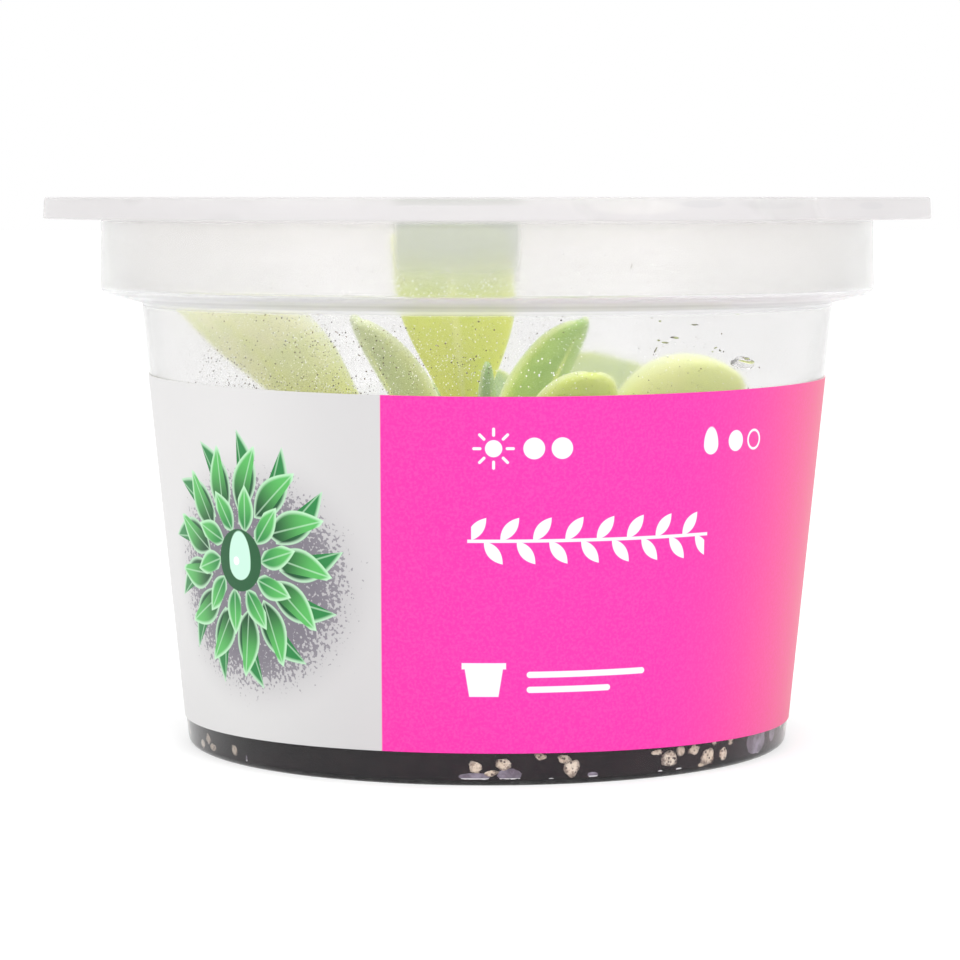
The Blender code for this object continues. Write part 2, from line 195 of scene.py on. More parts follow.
class Shader:
    """One material and the nodes that make it."""

    def __init__(self, name):
        self.material = bpy.data.materials.new(name)
        self.material.use_nodes = True
        self.tree = self.material.node_tree
        self.tree.nodes.clear()

    def node(self, kind, settings=None, values=None):
        """A new node with its settings, then the numbers, colours or wires of its sockets."""
        made = self.tree.nodes.new(kind)
        for key, value in (settings or {}).items():
            setattr(made, key, value)
        for key, value in (values or {}).items():
            if isinstance(value, Wire):
                self.tree.links.new(value.socket, made.inputs[key])
            else:
                made.inputs[key].default_value = value
        return made

    def wire(self, kind, settings=None, values=None, output=0):
        return Wire(self, self.node(kind, settings, values).outputs[output])

    def coords(self):
        return self.wire("ShaderNodeTexCoord", output="Object")

    def place(self):
        """Object coordinates, and their three parts in millimetres."""
        coords = self.coords()
        return coords, *(part * 1000.0 for part in self.split(coords))

    def split(self, vector):
        parts = self.node("ShaderNodeSeparateXYZ", values={0: vector})
        return [Wire(self, socket) for socket in parts.outputs]

    def step(self, value, low, high, start=0.0, end=1.0):
        """A soft step from start to end as the value goes from low to high."""
        return self.wire(
            "ShaderNodeMapRange",
            {"interpolation_type": "SMOOTHSTEP"},
            {"Value": value, "From Min": low, "From Max": high, "To Min": start, "To Max": end},
        )

    def band(self, value, edges):
        """One between the two inner edges and nothing beyond the two outer ones."""
        start, full, still_full, end = edges
        return self.step(value, start, full) * self.step(value, end, still_full)

    def noise(self, coords, scale, detail=3.0, roughness=0.55):
        values = {"Vector": coords, "Scale": scale, "Detail": detail, "Roughness": roughness}
        return self.wire("ShaderNodeTexNoise", values=values, output="Fac")

    def cells(self, coords, scale):
        values = {"Vector": coords, "Scale": scale, "Randomness": 1.0}
        return self.wire("ShaderNodeTexVoronoi", values=values, output="Distance")

    def number(self, name):
        return self.wire("ShaderNodeAttribute", {"attribute_name": name}, output="Fac")

    def blend(self, share, first, second, mode="MIX"):
        """Mixes two colours, each a colour triple or a wire."""
        values = {"Factor": share}
        made = self.node("ShaderNodeMix", {"data_type": "RGBA", "blend_type": mode}, values)
        for socket, colour in ((made.inputs[6], first), (made.inputs[7], second)):
            if isinstance(colour, Wire):
                self.tree.links.new(colour.socket, socket)
            else:
                socket.default_value = (*colour, 1.0)
        return Wire(self, made.outputs[2])

    def bump(self, height, distance, strength=1.0):
        values = {"Height": height, "Distance": distance, "Strength": strength}
        return self.wire("ShaderNodeBump", values=values)

    def principled(self, **values):
        named = {key.replace("_", " "): value for key, value in values.items()}
        for key, value in named.items():
            if isinstance(value, tuple) and len(value) == 3 and "Color" in key:
                named[key] = (*value, 1.0)
        return self.wire("ShaderNodeBsdfPrincipled", values=named)

    def mix(self, share, first, second):
        return self.wire("ShaderNodeMixShader", values={0: share, 1: first, 2: second})

    def let_through(self, colour):
        return self.wire("ShaderNodeBsdfTransparent", values={"Color": (*colour, 1.0)})

    def ray(self, kind):
        return self.wire("ShaderNodeLightPath", output=kind)

    def finish(self, surface):
        self.node("ShaderNodeOutputMaterial", values={"Surface": surface})
        return self.material


def least(first, second):
    return first.math("MINIMUM", second)


def most(first, second):
    return first.math("MAXIMUM", second)


def length(a, b):
    return (a * a + b * b) ** 0.5


def horizontal(degrees):
    angle = math.radians(degrees)
    return Vector((math.cos(angle), math.sin(angle), 0.0))


def smooth(x):
    x = min(max(x, 0.0), 1.0)
    return x * x * (3 - 2 * x)


def body_radius(z):
    return BODY_BASE_RADIUS + BODY_SLOPE * z


def foot_step_radius(lift):
    """Outer radius of the step between the foot and the raised floor, at a lift above the cup's underside."""
    return FOOT_INNER_RADIUS + lift * (math.sqrt(2) - 1)


# Finishes


def milky_clear(shader, normal, tint, haze, milk, fog_colour, fog_glow):
    """Clear plastic with a milky share, which lets lamp light through to what it holds."""
    clear = shader.principled(
        Base_Color=tint,
        Roughness=haze,
        Transmission_Weight=1.0,
        IOR=1.42,
        Normal=normal,
    )
    milky = shader.principled(
        Base_Color=fog_colour,
        Roughness=0.5,
        Transmission_Weight=fog_glow,
        IOR=1.2,
        Specular_IOR_Level=0.3,
        Normal=normal,
    )
    plastic = shader.mix(milk, clear, milky)
    passed = shader.let_through((1.0, 1.0, 1.0))
    from_inside = shader.mix(shader.ray("Is Diffuse Ray"), plastic, passed)
    return shader.finish(shader.mix(shader.ray("Is Shadow Ray"), from_inside, passed))


# Heights in the cup's wall where the ledge is milky and where a painted dark line of shade runs along it
LEDGE_BAND = (49.4, 49.9, 51.1, 52.0)
LEDGE_SHADE_BAND = (50.3, 50.45, 50.6, 50.75)
FLANGE_MILK_Z = (58.9, 59.5)


def cup_plastic():
    """The cup: contact-clear body, hazier at the left and in the collar, milky at the ledge and flange."""
    shader = Shader("cup_plastic")
    coords, x, _, z = shader.place()
    away_from_ledge = shader.step(z, 49.0, 47.0) + shader.step(z, 53.0, 55.0)
    ripple = shader.bump(shader.noise(coords, 40.0, detail=1.0) * away_from_ledge, 0.00003)
    streaks = shader.noise(coords, 120.0, detail=3.0)
    body_milk = shader.step(z, 38.0, 44.0, 0.0, 0.03)
    collar_milk = shader.step(z, 50.0, 53.0, 0.0, 0.09)
    ledge_milk = shader.band(z, LEDGE_BAND) * 0.62
    flange_milk = shader.step(z, *FLANGE_MILK_Z, 0.0, 0.7)
    milk = (body_milk + collar_milk) * (0.75 + 0.5 * streaks) + ledge_milk + flange_milk
    left_haze = shader.step(x, -8.0, -22.0) * 0.05
    right_haze = shader.step(x, 5.0, 12.0) * 0.05
    haze = shader.step(z, 49.5, 53.0, 0.05, 0.12) + left_haze + right_haze
    tint = shader.blend(shader.step(z, 50.5, 52.5), (0.87, 0.866, 0.867), (0.93, 0.924, 0.925))
    fog = shader.blend(shader.step(ledge_milk, 0.0, 0.3), (0.92, 0.915, 0.90), (0.74, 0.74, 0.75))
    # Painted shade: a dark line along the ledge's slope.
    fog = shader.blend(shader.band(z, LEDGE_SHADE_BAND), fog, (0.60, 0.595, 0.61))
    fog = shader.blend(shader.step(z, 58.4, 58.8), fog, (0.66, 0.65, 0.65))
    return milky_clear(shader, ripple, tint, haze, milk, fog, 0.5)


# Water held under the lid's rim at the right: angle from the front, height, half angle, half height, colour
RIM_PATCHES = (
    (17.5, 60.8, 5.4, 0.75, (0.69, 0.675, 0.67)),
    (25.8, 61.1, 2.9, 0.40, (0.60, 0.59, 0.60)),
    (35.7, 61.1, 4.8, 0.55, (0.60, 0.59, 0.595)),
    (54.0, 60.9, 3.0, 0.40, (0.61, 0.60, 0.61)),
)


def rim_colour(shader, x, y, z):
    """The fog's colour round the lid's rim, with the patches of water in it."""
    colour = (0.65, 0.635, 0.64)
    degrees = x.math("ARCTAN2", -y) * (180 / math.pi)
    for middle, height, half_turn, half_high, wet_colour in RIM_PATCHES:
        a, b = (degrees - middle) / half_turn, (z - height) / half_high
        colour = shader.blend(shader.step(length(a, b), 1.2, 0.75), colour, wet_colour)
    return colour


def lid_plastic():
    """The lid: a milky rim with trapped water, a fogged hanging ring with painted leaf-green shade in front
    of the tall leaf, and a lightly fogged panel.
    """
    shader = Shader("lid_plastic")
    coords, x, y, z = shader.place()
    radius = length(x, y)
    ripple = shader.bump(shader.noise(coords, 40.0, detail=1.0), 0.00003)
    fog = shader.noise(coords, 160.0, detail=4.0)
    front = shader.step(y, -20.0, -32.0, 0.40, 1.0)
    # The ring is foggier in front of the tall leaf.
    fog_before_leaf = shader.step(x, -10.1, -8.9) * shader.step(x, 3.9, 2.7) * front
    ring = shader.step(z + (fog - 0.5) * 1.5, 51.6, 57.4, 0.05, 0.82)
    ring = ring * most(fog_before_leaf, 0.26) * (0.9 + 0.2 * fog)
    panel = 0.10 + 0.22 * shader.step(fog, 0.4, 0.65)
    puddles = shader.step(shader.noise(coords, 75.0, detail=1.0), 0.56, 0.64)
    rim = 0.80 - 0.35 * puddles * shader.step(x, -6.0, 10.0, 0.25, 1.0)
    on_rim = shader.step(radius, 41.8, 42.4)
    milk = panel + shader.step(radius, 39.9, 40.3) * (ring - panel)
    milk = milk + on_rim * (rim - milk)
    # Painted shade: there its fog takes a dark leaf green, standing in for the leaf's light and shade seen
    # through it.
    painted_leaf_shade = fog_before_leaf * shader.step(radius, 41.8, 41.0)
    fog_colour = shader.blend(painted_leaf_shade, (0.73, 0.71, 0.70), (0.34, 0.375, 0.31))
    fog_colour = shader.blend(on_rim, fog_colour, rim_colour(shader, x, y, z))
    return milky_clear(shader, ripple, (0.972, 0.967, 0.967), 0.14, milk, fog_colour, 0.35)


def sectors(a, b, count, turn=0.0):
    """Folds the plane about a centre into equal sectors, each with its own axis along the first result."""
    wedge = math.tau / count
    angle = b.math("ARCTAN2", a) + turn
    folded = (angle / wedge + 0.5).math("FLOOR") * -wedge + angle
    reach = length(a, b)
    return reach * folded.math("COSINE"), reach * folded.math("SINE")


def bulge(along, long):
    """A place along a pointed leaflet, from -1 to 1, and the share of its full width there."""
    share = most(least(along * (2.0 / long) - 1.0, 1.2), -1.2)
    return share, 1.0 - share * share


# Inks of the wreath, and the painted shade that darkens the panel toward its right and its bottom
DEEP_GREEN = (0.005, 0.05, 0.018)
MID_GREEN = (0.02, 0.2, 0.05)
LIT_GREEN = (0.09, 0.42, 0.1)
FROST = (0.52, 0.78, 0.55)
PAINTED_PAPER_SHADE = (0.46, 0.455, 0.46)

# The wreath's rings: number of leaflets, turn, start radius, length, half width, lean, dark and bright green
WREATH_CENTRE = (-29.6, 23.0)
WREATH = (
    (13, 0.12, (6.0, 8.6, 2.1, 0.42, DEEP_GREEN, MID_GREEN)),
    (13, 0.36, (5.4, 7.6, 1.9, -0.36, DEEP_GREEN, LIT_GREEN)),
    (10, 0.0, (3.2, 5.2, 1.35, 0.3, MID_GREEN, LIT_GREEN)),
)

# Places on the print, round the wall from its front and up from the table
PANEL_EDGE = (-11.2, -11.35)
SIGN_ROW_Z = 35.9
SIGN_DISC_RADIUS = 1.12
BAR_HALF_HIGH = 0.32


class Sheet:
    """The label's print, drawn by signed distances in millimetres round the wall and up it."""

    def __init__(self, shader, u, z):
        self.shader, self.u, self.z = shader, u, z

    def offset(self, cu, cv):
        return self.u - cu, self.z - cv

    def ink(self, distance, soft=0.07):
        return self.shader.step(distance, soft, -soft)

    def disc(self, cu, cv, radius):
        return length(*self.offset(cu, cv)) - radius

    def bar(self, cu, cv, half_long, half_high):
        a, b = self.offset(cu, cv)
        return length(most(abs(a) - half_long, 0.0), b) - half_high

    def leaflets(self, colour, a, b, ring):
        """Paints the leaflets of a ring, which start at a radius and lean to one side."""
        start, long, half, lean, dark, bright = ring
        along = (a - start) * math.cos(lean) + b * math.sin(lean)
        beside = b * math.cos(lean) - (a - start) * math.sin(lean)
        share, width = bulge(along, long)
        outside = abs(beside) - width * half * (1.0 - 0.25 * share)
        body = self.shader.blend(self.shader.step(along / long, 0.05, 0.8), dark, bright)
        body = self.shader.blend(self.shader.step(abs(beside), 0.14, 0.04) * 0.45, body, FROST)
        body = self.shader.blend(self.shader.step(outside, -0.55, -0.1) * 0.75, body, FROST)
        return self.shader.blend(self.ink(outside), colour, body)


def pale_panel(sheet, coords, grain):
    """The panel at the left: paper with painted shade toward its right and bottom, a round leaf wreath and
    its speckled shadow.
    """
    shader = sheet.shader
    paper = shader.blend(grain * 0.05, (0.62, 0.612, 0.61), (0.56, 0.55, 0.55))
    # Painted shade: the paper darkens toward the magenta field and toward its bottom edge.
    paper = shader.blend(shader.step(sheet.u, -32.0, -12.0, 0.0, 0.55), paper, PAINTED_PAPER_SHADE)
    paper = shader.blend(shader.step(sheet.z, 24.0, 4.0, 0.0, 0.12), paper, PAINTED_PAPER_SHADE)
    a, b = sheet.offset(*WREATH_CENTRE)
    shade = shader.step(length((a - 1.6) * 0.9, b + 2.2), 15.5, 7.5)
    speckle = shader.step(shader.noise(coords, 2600.0, detail=1.0) + shade * 0.5, 0.78, 0.9)
    colour = shader.blend(shade * 0.35 + speckle * 0.5, paper, (0.10, 0.085, 0.12))
    for count, turn, ring in WREATH:
        colour = sheet.leaflets(colour, *sectors(a, b, count, turn), ring)
    colour = shader.blend(sheet.ink(length(a, b) - 3.4), colour, (0.013, 0.09, 0.03))
    bud = length(a, least(b + 0.4, b * 0.55)) - 1.75
    colour = shader.blend(sheet.ink(bud), colour, (0.5, 0.78, 0.62))
    return shader.blend(sheet.ink(length(a + 0.55, b + 0.1) - 0.45), colour, (0.95, 0.98, 0.96))


def sun_sign(sheet, u, v):
    """A disc with eight short rays."""
    a, b = sheet.offset(u, v)
    ray_a, ray_b = sectors(a, b, 8)
    rays = length(most(abs(ray_a - 1.72) - 0.32, 0.0), ray_b) - 0.14
    return least(length(a, b) - 0.88, rays)


def drop_sign(sheet, u, v):
    """A disc drawn out at its top."""
    a, b = sheet.offset(u, v)
    return length(a, least(b, b * 0.52)) - 1.0


def sprig_sign(sheet, u, v):
    """A straight stem with leaflets in turn above and below it."""
    a, b = sheet.offset(u, v)
    pitch = 3.4
    shape = most(abs(b) - 0.16, abs(a) - 13.6)
    for side, shift in ((1.0, 0.0), (-1.0, pitch / 2)):
        cell = ((a + shift) / pitch).math("FLOOR")
        leaf_a = a + shift - cell * pitch
        leaf_b = b * side
        along = leaf_a * 0.62 + leaf_b * 0.78
        beside = leaf_b * 0.62 - leaf_a * 0.78
        leaflet = abs(beside) - bulge(along, 3.1)[1] * 0.62
        shape = least(shape, most(leaflet, abs(a) - 13.2))
    return shape


def pot_sign(sheet, u, v):
    """A tapered pot below its brim."""
    a, b = sheet.offset(u, v)
    body = most(abs(b) - 1.5, abs(a) - (b * 0.16 + 1.75))
    brim = most(abs(b - 1.75) - 0.32, abs(a) - 2.3)
    return least(body, brim)


def magenta_field(sheet, grain):
    """The field at the right: grained magenta that warms to coral, with plain white signs."""
    shader = sheet.shader
    warm = shader.step(sheet.u - (sheet.z - 20.0) * 0.12, 18.0, 62.0)
    colour = shader.blend(warm, (0.79, 0.024, 0.345), (0.66, 0.12, 0.15))
    colour = shader.blend(shader.step(sheet.u, 8.0, -12.0) * 0.6, colour, (0.79, 0.022, 0.315))
    colour = shader.blend(shader.step(grain, 0.35, 0.75) * 0.22, colour, (0.82, 0.13, 0.46))
    signs = (
        sun_sign(sheet, 0.6, SIGN_ROW_Z),
        sheet.disc(4.8, SIGN_ROW_Z, SIGN_DISC_RADIUS),
        sheet.disc(7.75, SIGN_ROW_Z, SIGN_DISC_RADIUS),
        drop_sign(sheet, 25.4, SIGN_ROW_Z - 0.2),
        sheet.disc(29.1, SIGN_ROW_Z + 0.1, SIGN_DISC_RADIUS),
        abs(sheet.disc(32.1, SIGN_ROW_Z + 0.1, 1.0)) - 0.12,
        sprig_sign(sheet, 11.5, 26.2),
        pot_sign(sheet, -0.4, 11.2),
        sheet.bar(10.6, 12.0, 6.2, BAR_HALF_HIGH),
        sheet.bar(8.6, 10.4, 4.2, BAR_HALF_HIGH),
    )
    return shader.blend(sheet.ink(reduce(least, signs)), colour, (0.93, 0.82, 0.88))


def label_print():
    """The wrap-around print: a pale panel with a leaf wreath, and a magenta field that warms to coral."""
    shader = Shader("label_print")
    coords, x, y, z = shader.place()
    sheet = Sheet(shader, x.math("ARCTAN2", -y) * body_radius(z), z)
    grain = shader.noise(coords, 3200.0, detail=2.0)
    on_panel = shader.step(sheet.u, *PANEL_EDGE)
    colour = shader.blend(on_panel, magenta_field(sheet, grain), pale_panel(sheet, coords, grain))
    across, back, _ = shader.split(shader.wire("ShaderNodeNewGeometry", output="Normal"))
    outward = shader.step(across * x + back * y, -1.0, 1.0)
    surface = shader.principled(
        Base_Color=shader.blend(outward, (0.80, 0.79, 0.79), colour),
        Roughness=0.38 + grain * 0.12,
        IOR=1.45,
        Specular_IOR_Level=0.35,
        Normal=shader.bump(shader.noise(coords, 900.0, detail=3.0), 0.00002, 0.6),
    )
    return shader.finish(surface)


def wet_substrate():
    """Near-black wet peat with brown fibres, glossy where it presses on the wall."""
    shader = Shader("wet_substrate")
    coords = shader.coords()
    clumps = shader.noise(coords, 420.0, detail=6.0, roughness=0.65)
    fibres = shader.noise(coords, 1500.0, detail=4.0, roughness=0.7)
    colour = shader.blend(shader.step(clumps, 0.4, 0.7), (0.004, 0.002, 0.004), (0.013, 0.008, 0.010))
    colour = shader.blend(shader.step(fibres, 0.58, 0.74) * 0.5, colour, (0.05, 0.03, 0.025))
    surface = shader.principled(
        Base_Color=colour,
        Roughness=shader.step(clumps, 0.35, 0.65, 0.3, 0.7),
        Specular_IOR_Level=0.05,
        Normal=shader.bump(clumps + fibres * 0.4, 0.0003, 0.5),
    )
    return shader.finish(surface)


def pumice():
    """Cream pumice with small pits darkened by painted shade, a few rusty faces, and painted shade round the
    rims of grains pressed on the wall.
    """
    shader = Shader("pumice")
    coords, x, _, _ = shader.place()
    tone = shader.noise(coords, 240.0, detail=2.0)
    pits = shader.step(shader.cells(coords, 2000.0), 0.36, 0.18)
    stain = shader.step(shader.noise(coords, 150.0, detail=3.0), 0.56, 0.7)
    grit = shader.noise(coords, 2400.0, detail=4.0, roughness=0.7)
    colour = shader.blend(shader.step(tone, 0.35, 0.65), (0.74, 0.65, 0.54), (0.56, 0.45, 0.34))
    colour = shader.blend(shader.step(grit, 0.47, 0.62) * 0.7, colour, (0.30, 0.21, 0.15))
    colour = shader.blend(stain * 0.5, colour, (0.42, 0.22, 0.10))
    # Painted shade: grains pressed on the wall darken toward their rims, to look rounded.
    edge = shader.step(shader.number("rim") + (grit - 0.5) * 1.2, 0.45, 1.0)
    colour = shader.blend(edge * 0.8, colour, (0.10, 0.07, 0.06))
    colour = shader.blend(shader.step(x, -20.0, -27.0) * 0.5, colour, (0.16, 0.13, 0.12))
    # Painted shade: the pits are darkened, as shade falls in them.
    colour = shader.blend(pits * 0.85, colour, (0.05, 0.03, 0.03))
    surface = shader.principled(
        Base_Color=colour,
        Roughness=0.6,
        Normal=shader.bump(1.0 - pits, 0.00015, 0.9),
    )
    return shader.finish(surface)


def wet_pocket():
    """Lilac-grey film of water and air caught between the substrate and the wall, with a painted white glint
    along its lower edge.
    """
    shader = Shader("wet_pocket")
    coords, x, _, z = shader.place()
    cloud = shader.noise(coords, 700.0, detail=4.0)
    colour = shader.blend(shader.step(cloud, 0.35, 0.7), (0.10, 0.08, 0.11), (0.24, 0.21, 0.27))
    # Painted highlight: a white glint line low down along the pockets.
    painted_glint_line = shader.step(z + cloud * 0.1, 0.95, 0.85)
    colour = shader.blend(painted_glint_line, colour, (0.75, 0.74, 0.76))
    colour = shader.blend(shader.step(x, 31.5, 32.3) * 0.5, colour, (0.62, 0.58, 0.63))
    surface = shader.principled(Base_Color=colour, Roughness=0.2, Normal=shader.bump(cloud, 0.0001, 0.6))
    return shader.finish(surface)


def leaf_colour(shader, coords, y, z, mottle):
    """A leaf's colour by its tone, with a paler stalk, midrib and rim; a yellower lower blade that is partly
    its own colour and partly painted light; painted shade that makes it duller at the back and bluer high up.
    """
    along = shader.number("along")
    across = shader.number("across")
    tone = shader.number("tone")
    yellow = shader.step(tone, 0.0, 1.0)
    green = shader.blend(yellow, (0.34, 0.52, 0.24), (0.76, 0.84, 0.21))
    deep = shader.blend(yellow, (0.27, 0.45, 0.18), (0.70, 0.80, 0.16))
    colour = shader.blend(shader.step(mottle, 0.35, 0.65), deep, green)
    cloud = shader.step(shader.noise(coords, 110.0, detail=2.0), 0.4, 0.62)
    cream = shader.blend(cloud, (0.85, 0.90, 0.57), (0.97, 0.95, 0.67))
    colour = shader.blend(shader.step(tone, 1.0, 2.0), colour, cream)
    colour = shader.blend(shader.step(tone, 0.0, -1.0), colour, (0.66, 0.70, 0.46))
    # Yellower and brighter lower down the blade: partly the leaf's own colour, partly painted light that
    # lifts the part the label shades.
    colour = shader.blend(shader.step(along, 0.8, 0.4) * yellow * 0.8, colour, (0.91, 0.92, 0.19))
    colour = shader.blend(shader.step(along, 0.35, 0.05) * 0.75, colour, (0.80, 0.84, 0.46))
    # Painted shade: duller and a little pinker toward the back, and bluer and darker high up in the collar.
    colour = shader.blend(shader.step(y, 0.0, 10.0), colour, (0.85, 0.76, 0.82), "MULTIPLY")
    colour = shader.blend(shader.step(z, 48.5, 53.0), colour, (0.70, 0.72, 0.92), "MULTIPLY")
    midrib = shader.step(abs(across), 0.12, 0.02) * shader.step(along, 1.0, 0.7)
    colour = shader.blend(midrib * 0.6, colour, (0.90, 0.95, 0.42))
    rim = shader.step(abs(across), 0.86, 0.97)
    return shader.blend(rim * 0.35, colour, (0.80, 0.88, 0.58))


def leaf_flesh():
    """Soft fleshy leaf, with a little painted glow low down: emission that stands in for light that would
    reach it through the label's film.
    """
    shader = Shader("leaf_flesh")
    coords, _, y, z = shader.place()
    mottle = shader.noise(coords, 330.0, detail=4.0)
    fine = shader.noise(coords, 1900.0, detail=2.0)
    glands = shader.step(shader.cells(coords, 1500.0), 0.25, 0.1)
    colour = leaf_colour(shader, coords, y, z, mottle)
    colour = shader.blend(glands * 0.25, colour, (0.86, 0.92, 0.7))
    surface = shader.principled(
        Base_Color=colour,
        Roughness=0.32 + 0.2 * mottle,
        Subsurface_Weight=0.6,
        Subsurface_Radius=(0.0030, 0.0030, 0.0010),
        Subsurface_Scale=1.0,
        Coat_Weight=0.15,
        Coat_Roughness=0.2,
        # Painted light: emission below the label's top, glowing in the leaf's own colour.
        Emission_Color=shader.blend(shader.step(z, 49.0, 41.0), (0.0, 0.0, 0.0), colour),
        Emission_Strength=0.14,
        Normal=shader.bump(mottle * 0.5 + fine * 0.25 + glands * 0.3, 0.00012, 0.7),
    )
    return shader.finish(surface)


def stem_flesh():
    """Pale stem, browner toward the substrate."""
    shader = Shader("stem_flesh")
    coords, _, _, z = shader.place()
    mottle = shader.noise(coords, 500.0, detail=4.0)
    colour = shader.blend(shader.step(z, 21.0, 27.0), (0.16, 0.10, 0.05), (0.55, 0.62, 0.28))
    colour = shader.blend(mottle * 0.4, colour, (0.3, 0.26, 0.12))
    surface = shader.principled(Base_Color=colour, Roughness=0.5, Normal=shader.bump(mottle, 0.0003, 0.6))
    return shader.finish(surface)


def bead(name, colour, roughness, clearness):
    """Droplets that let lamp light through, clear or so small that they show white."""
    shader = Shader(name)
    drop = shader.principled(Base_Color=colour, Roughness=roughness, Transmission_Weight=clearness, IOR=1.33)
    passed = shader.let_through((0.97, 0.97, 0.97))
    return shader.finish(shader.mix(shader.ray("Is Shadow Ray"), drop, passed))


def crumb(name, scale, dark, pale, roughness):
    """Specks of substrate or old leaf stuck to the wet wall."""
    shader = Shader(name)
    tone = shader.noise(shader.coords(), scale)
    colour = shader.blend(shader.step(tone, 0.35, 0.65), dark, pale)
    return shader.finish(shader.principled(Base_Color=colour, Roughness=roughness))


# Mesh helpers


def add_object(name, data):
    made = bpy.data.objects.new(name, data)
    bpy.context.scene.collection.objects.link(made)
    return made


def piece(name, points, faces, finish, slot, replaced=(), sharp_above=40.0, numbers=None):
    """Makes a mesh from points in millimetres, with its finish, and hangs it on the part."""
    mesh = bpy.data.meshes.new(name)
    mesh.from_pydata([(x * MM, y * MM, z * MM) for x, y, z in points], [], faces)
    mesh.validate()
    for key, values in (numbers or {}).items():
        layer = mesh.attributes.new(key, "FLOAT", "POINT")
        layer.data.foreach_set("value", values)
    obj = add_object(name, mesh)
    mesh.materials.append(finish)
    mesh.shade_smooth()
    mesh.set_sharp_from_angle(angle=math.radians(sharp_above))
    if replaced:
        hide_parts(*replaced)
    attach(obj, "root")
    return obj


def filleted(corners):
    """Turns (radius, height, fillet) corners into a profile, each fillet an arc tangent to both sides."""
    points = []
    for i, (r, z, fillet) in enumerate(corners):
        corner = Vector((r, z))
        if not fillet:
            points.append(corner)
            continue
        before = (Vector(corners[i - 1][:2]) - corner).normalized()
        after = (Vector(corners[(i + 1) % len(corners)][:2]) - corner).normalized()
        half = before.angle(after) / 2
        centre = corner + (before + after).normalized() * fillet / math.sin(half)
        start = corner + before * fillet / math.tan(half) - centre
        sweep = start.angle_signed(corner + after * fillet / math.tan(half) - centre)
        for k in range(FILLET_STEPS + 1):
            points.append(centre + Matrix.Rotation(-sweep * k / FILLET_STEPS, 2) @ start)
    return [(p.x, p.y) for p in points]


def turned(profile_at, steps=TURN_STEPS):
    """Points and faces of a profile turned about Z: its ends lie on the axis, or its outline is closed."""
    profiles = [profile_at(math.tau * j / steps) for j in range(steps)]
    capped = profiles[0][0][0] == 0
    rows = range(1, len(profiles[0]) - 1) if capped else range(len(profiles[0]))
    points = []
    for i in rows:
        for j in range(steps):
            r, z = profiles[j][i]
            angle = math.tau * j / steps
            points.append((r * math.cos(angle), r * math.sin(angle), z))
    count = len(rows)
    faces = []
    for i in range(count - 1 if capped else count):
        low = (i + 1) % count
        for j in range(steps):
            k = (j + 1) % steps
            faces.append((i * steps + j, low * steps + j, low * steps + k, i * steps + k))
    if capped:
        first, last = len(points), len(points) + 1
        points += [(0.0, 0.0, profiles[0][0][1]), (0.0, 0.0, profiles[0][-1][1])]
        for j in range(steps):
            k = (j + 1) % steps
            faces.append((first, j, k))
            faces.append((last, (count - 1) * steps + k, (count - 1) * steps + j))
    return points, faces


def finer(profile, longest):
    """Adds points along a profile's long sides."""
    out = [profile[0]]
    for (r0, z0), (r1, z1) in zip(profile, profile[1:]):
        parts = max(1, math.ceil(math.hypot(r1 - r0, z1 - z0) / longest))
        out += [(r0 + (r1 - r0) * k / parts, z0 + (z1 - z0) * k / parts) for k in range(1, parts + 1)]
    return out


def beads(places):
    """One mesh of many small faceted beads. Each place is (centre, radius, outward axis, height share)."""
    bm = bmesh.new()
    bmesh.ops.create_icosphere(bm, subdivisions=1, radius=1.0)
    ball = [v.co.copy() for v in bm.verts]
    sides = [tuple(v.index for v in f.verts) for f in bm.faces]
    bm.free()
    points, faces = [], []
    for centre, radius, axis, share in places:
        base = len(points)
        turn = axis.to_track_quat("Z", "Y")
        for co in ball:
            points.append(centre + turn @ Vector((co.x, co.y, co.z * share)) * radius)
        faces += [tuple(base + i for i in side) for side in sides]
    return points, faces


# Pieces


def make_cup(finish):
    """The cup's wall keeps one thickness through the floor, the ledge and round its corners."""
    mouth_z = HEIGHT - LID_THICK - GAP
    flange_z = mouth_z - FLANGE_THICK
    step_r = foot_step_radius(WALL)
    ledge_r = body_radius(LEDGE_Z)
    slope = (COLLAR_CORNER_Z - LEDGE_Z) / (COLLAR_BOTTOM_RADIUS - ledge_r)
    lift = WALL * math.hypot(1, slope)
    corners = [
        (0.0, FOOT_HEIGHT + WALL, 0),
        (step_r - FOOT_HEIGHT, FOOT_HEIGHT + WALL, SOFT_FILLET),
        (step_r, WALL, SOFT_FILLET),
        (body_radius(WALL) - WALL, WALL, BASE_FILLET - WALL),
        (ledge_r - WALL, LEDGE_Z + lift - slope * WALL, LEDGE_FILLET + WALL / 2),
        (COLLAR_BOTTOM_RADIUS - WALL, COLLAR_CORNER_Z + lift - slope * WALL, COLLAR_FILLET - WALL),
        (COLLAR_TOP_RADIUS - WALL, mouth_z, MOUTH_FILLET),
        (FLANGE_RADIUS, mouth_z, SHARP_FILLET),
        (FLANGE_RADIUS, flange_z, SHARP_FILLET),
        (COLLAR_TOP_RADIUS, flange_z, FLANGE_FILLET),
        (COLLAR_BOTTOM_RADIUS, COLLAR_CORNER_Z, COLLAR_FILLET),
        (ledge_r, LEDGE_Z, LEDGE_FILLET),
        (body_radius(0.0), 0.0, BASE_FILLET),
        (FOOT_INNER_RADIUS, 0.0, SOFT_FILLET),
        (FOOT_INNER_RADIUS - FOOT_HEIGHT, FOOT_HEIGHT, SOFT_FILLET),
        (0.0, FOOT_HEIGHT, 0),
    ]
    profile = finer(filleted(corners), LONGEST_SIDE)
    points, faces = turned(lambda angle: profile)
    return piece("clear_cup", points, faces, finish, "cup_plastic", ["cup"])


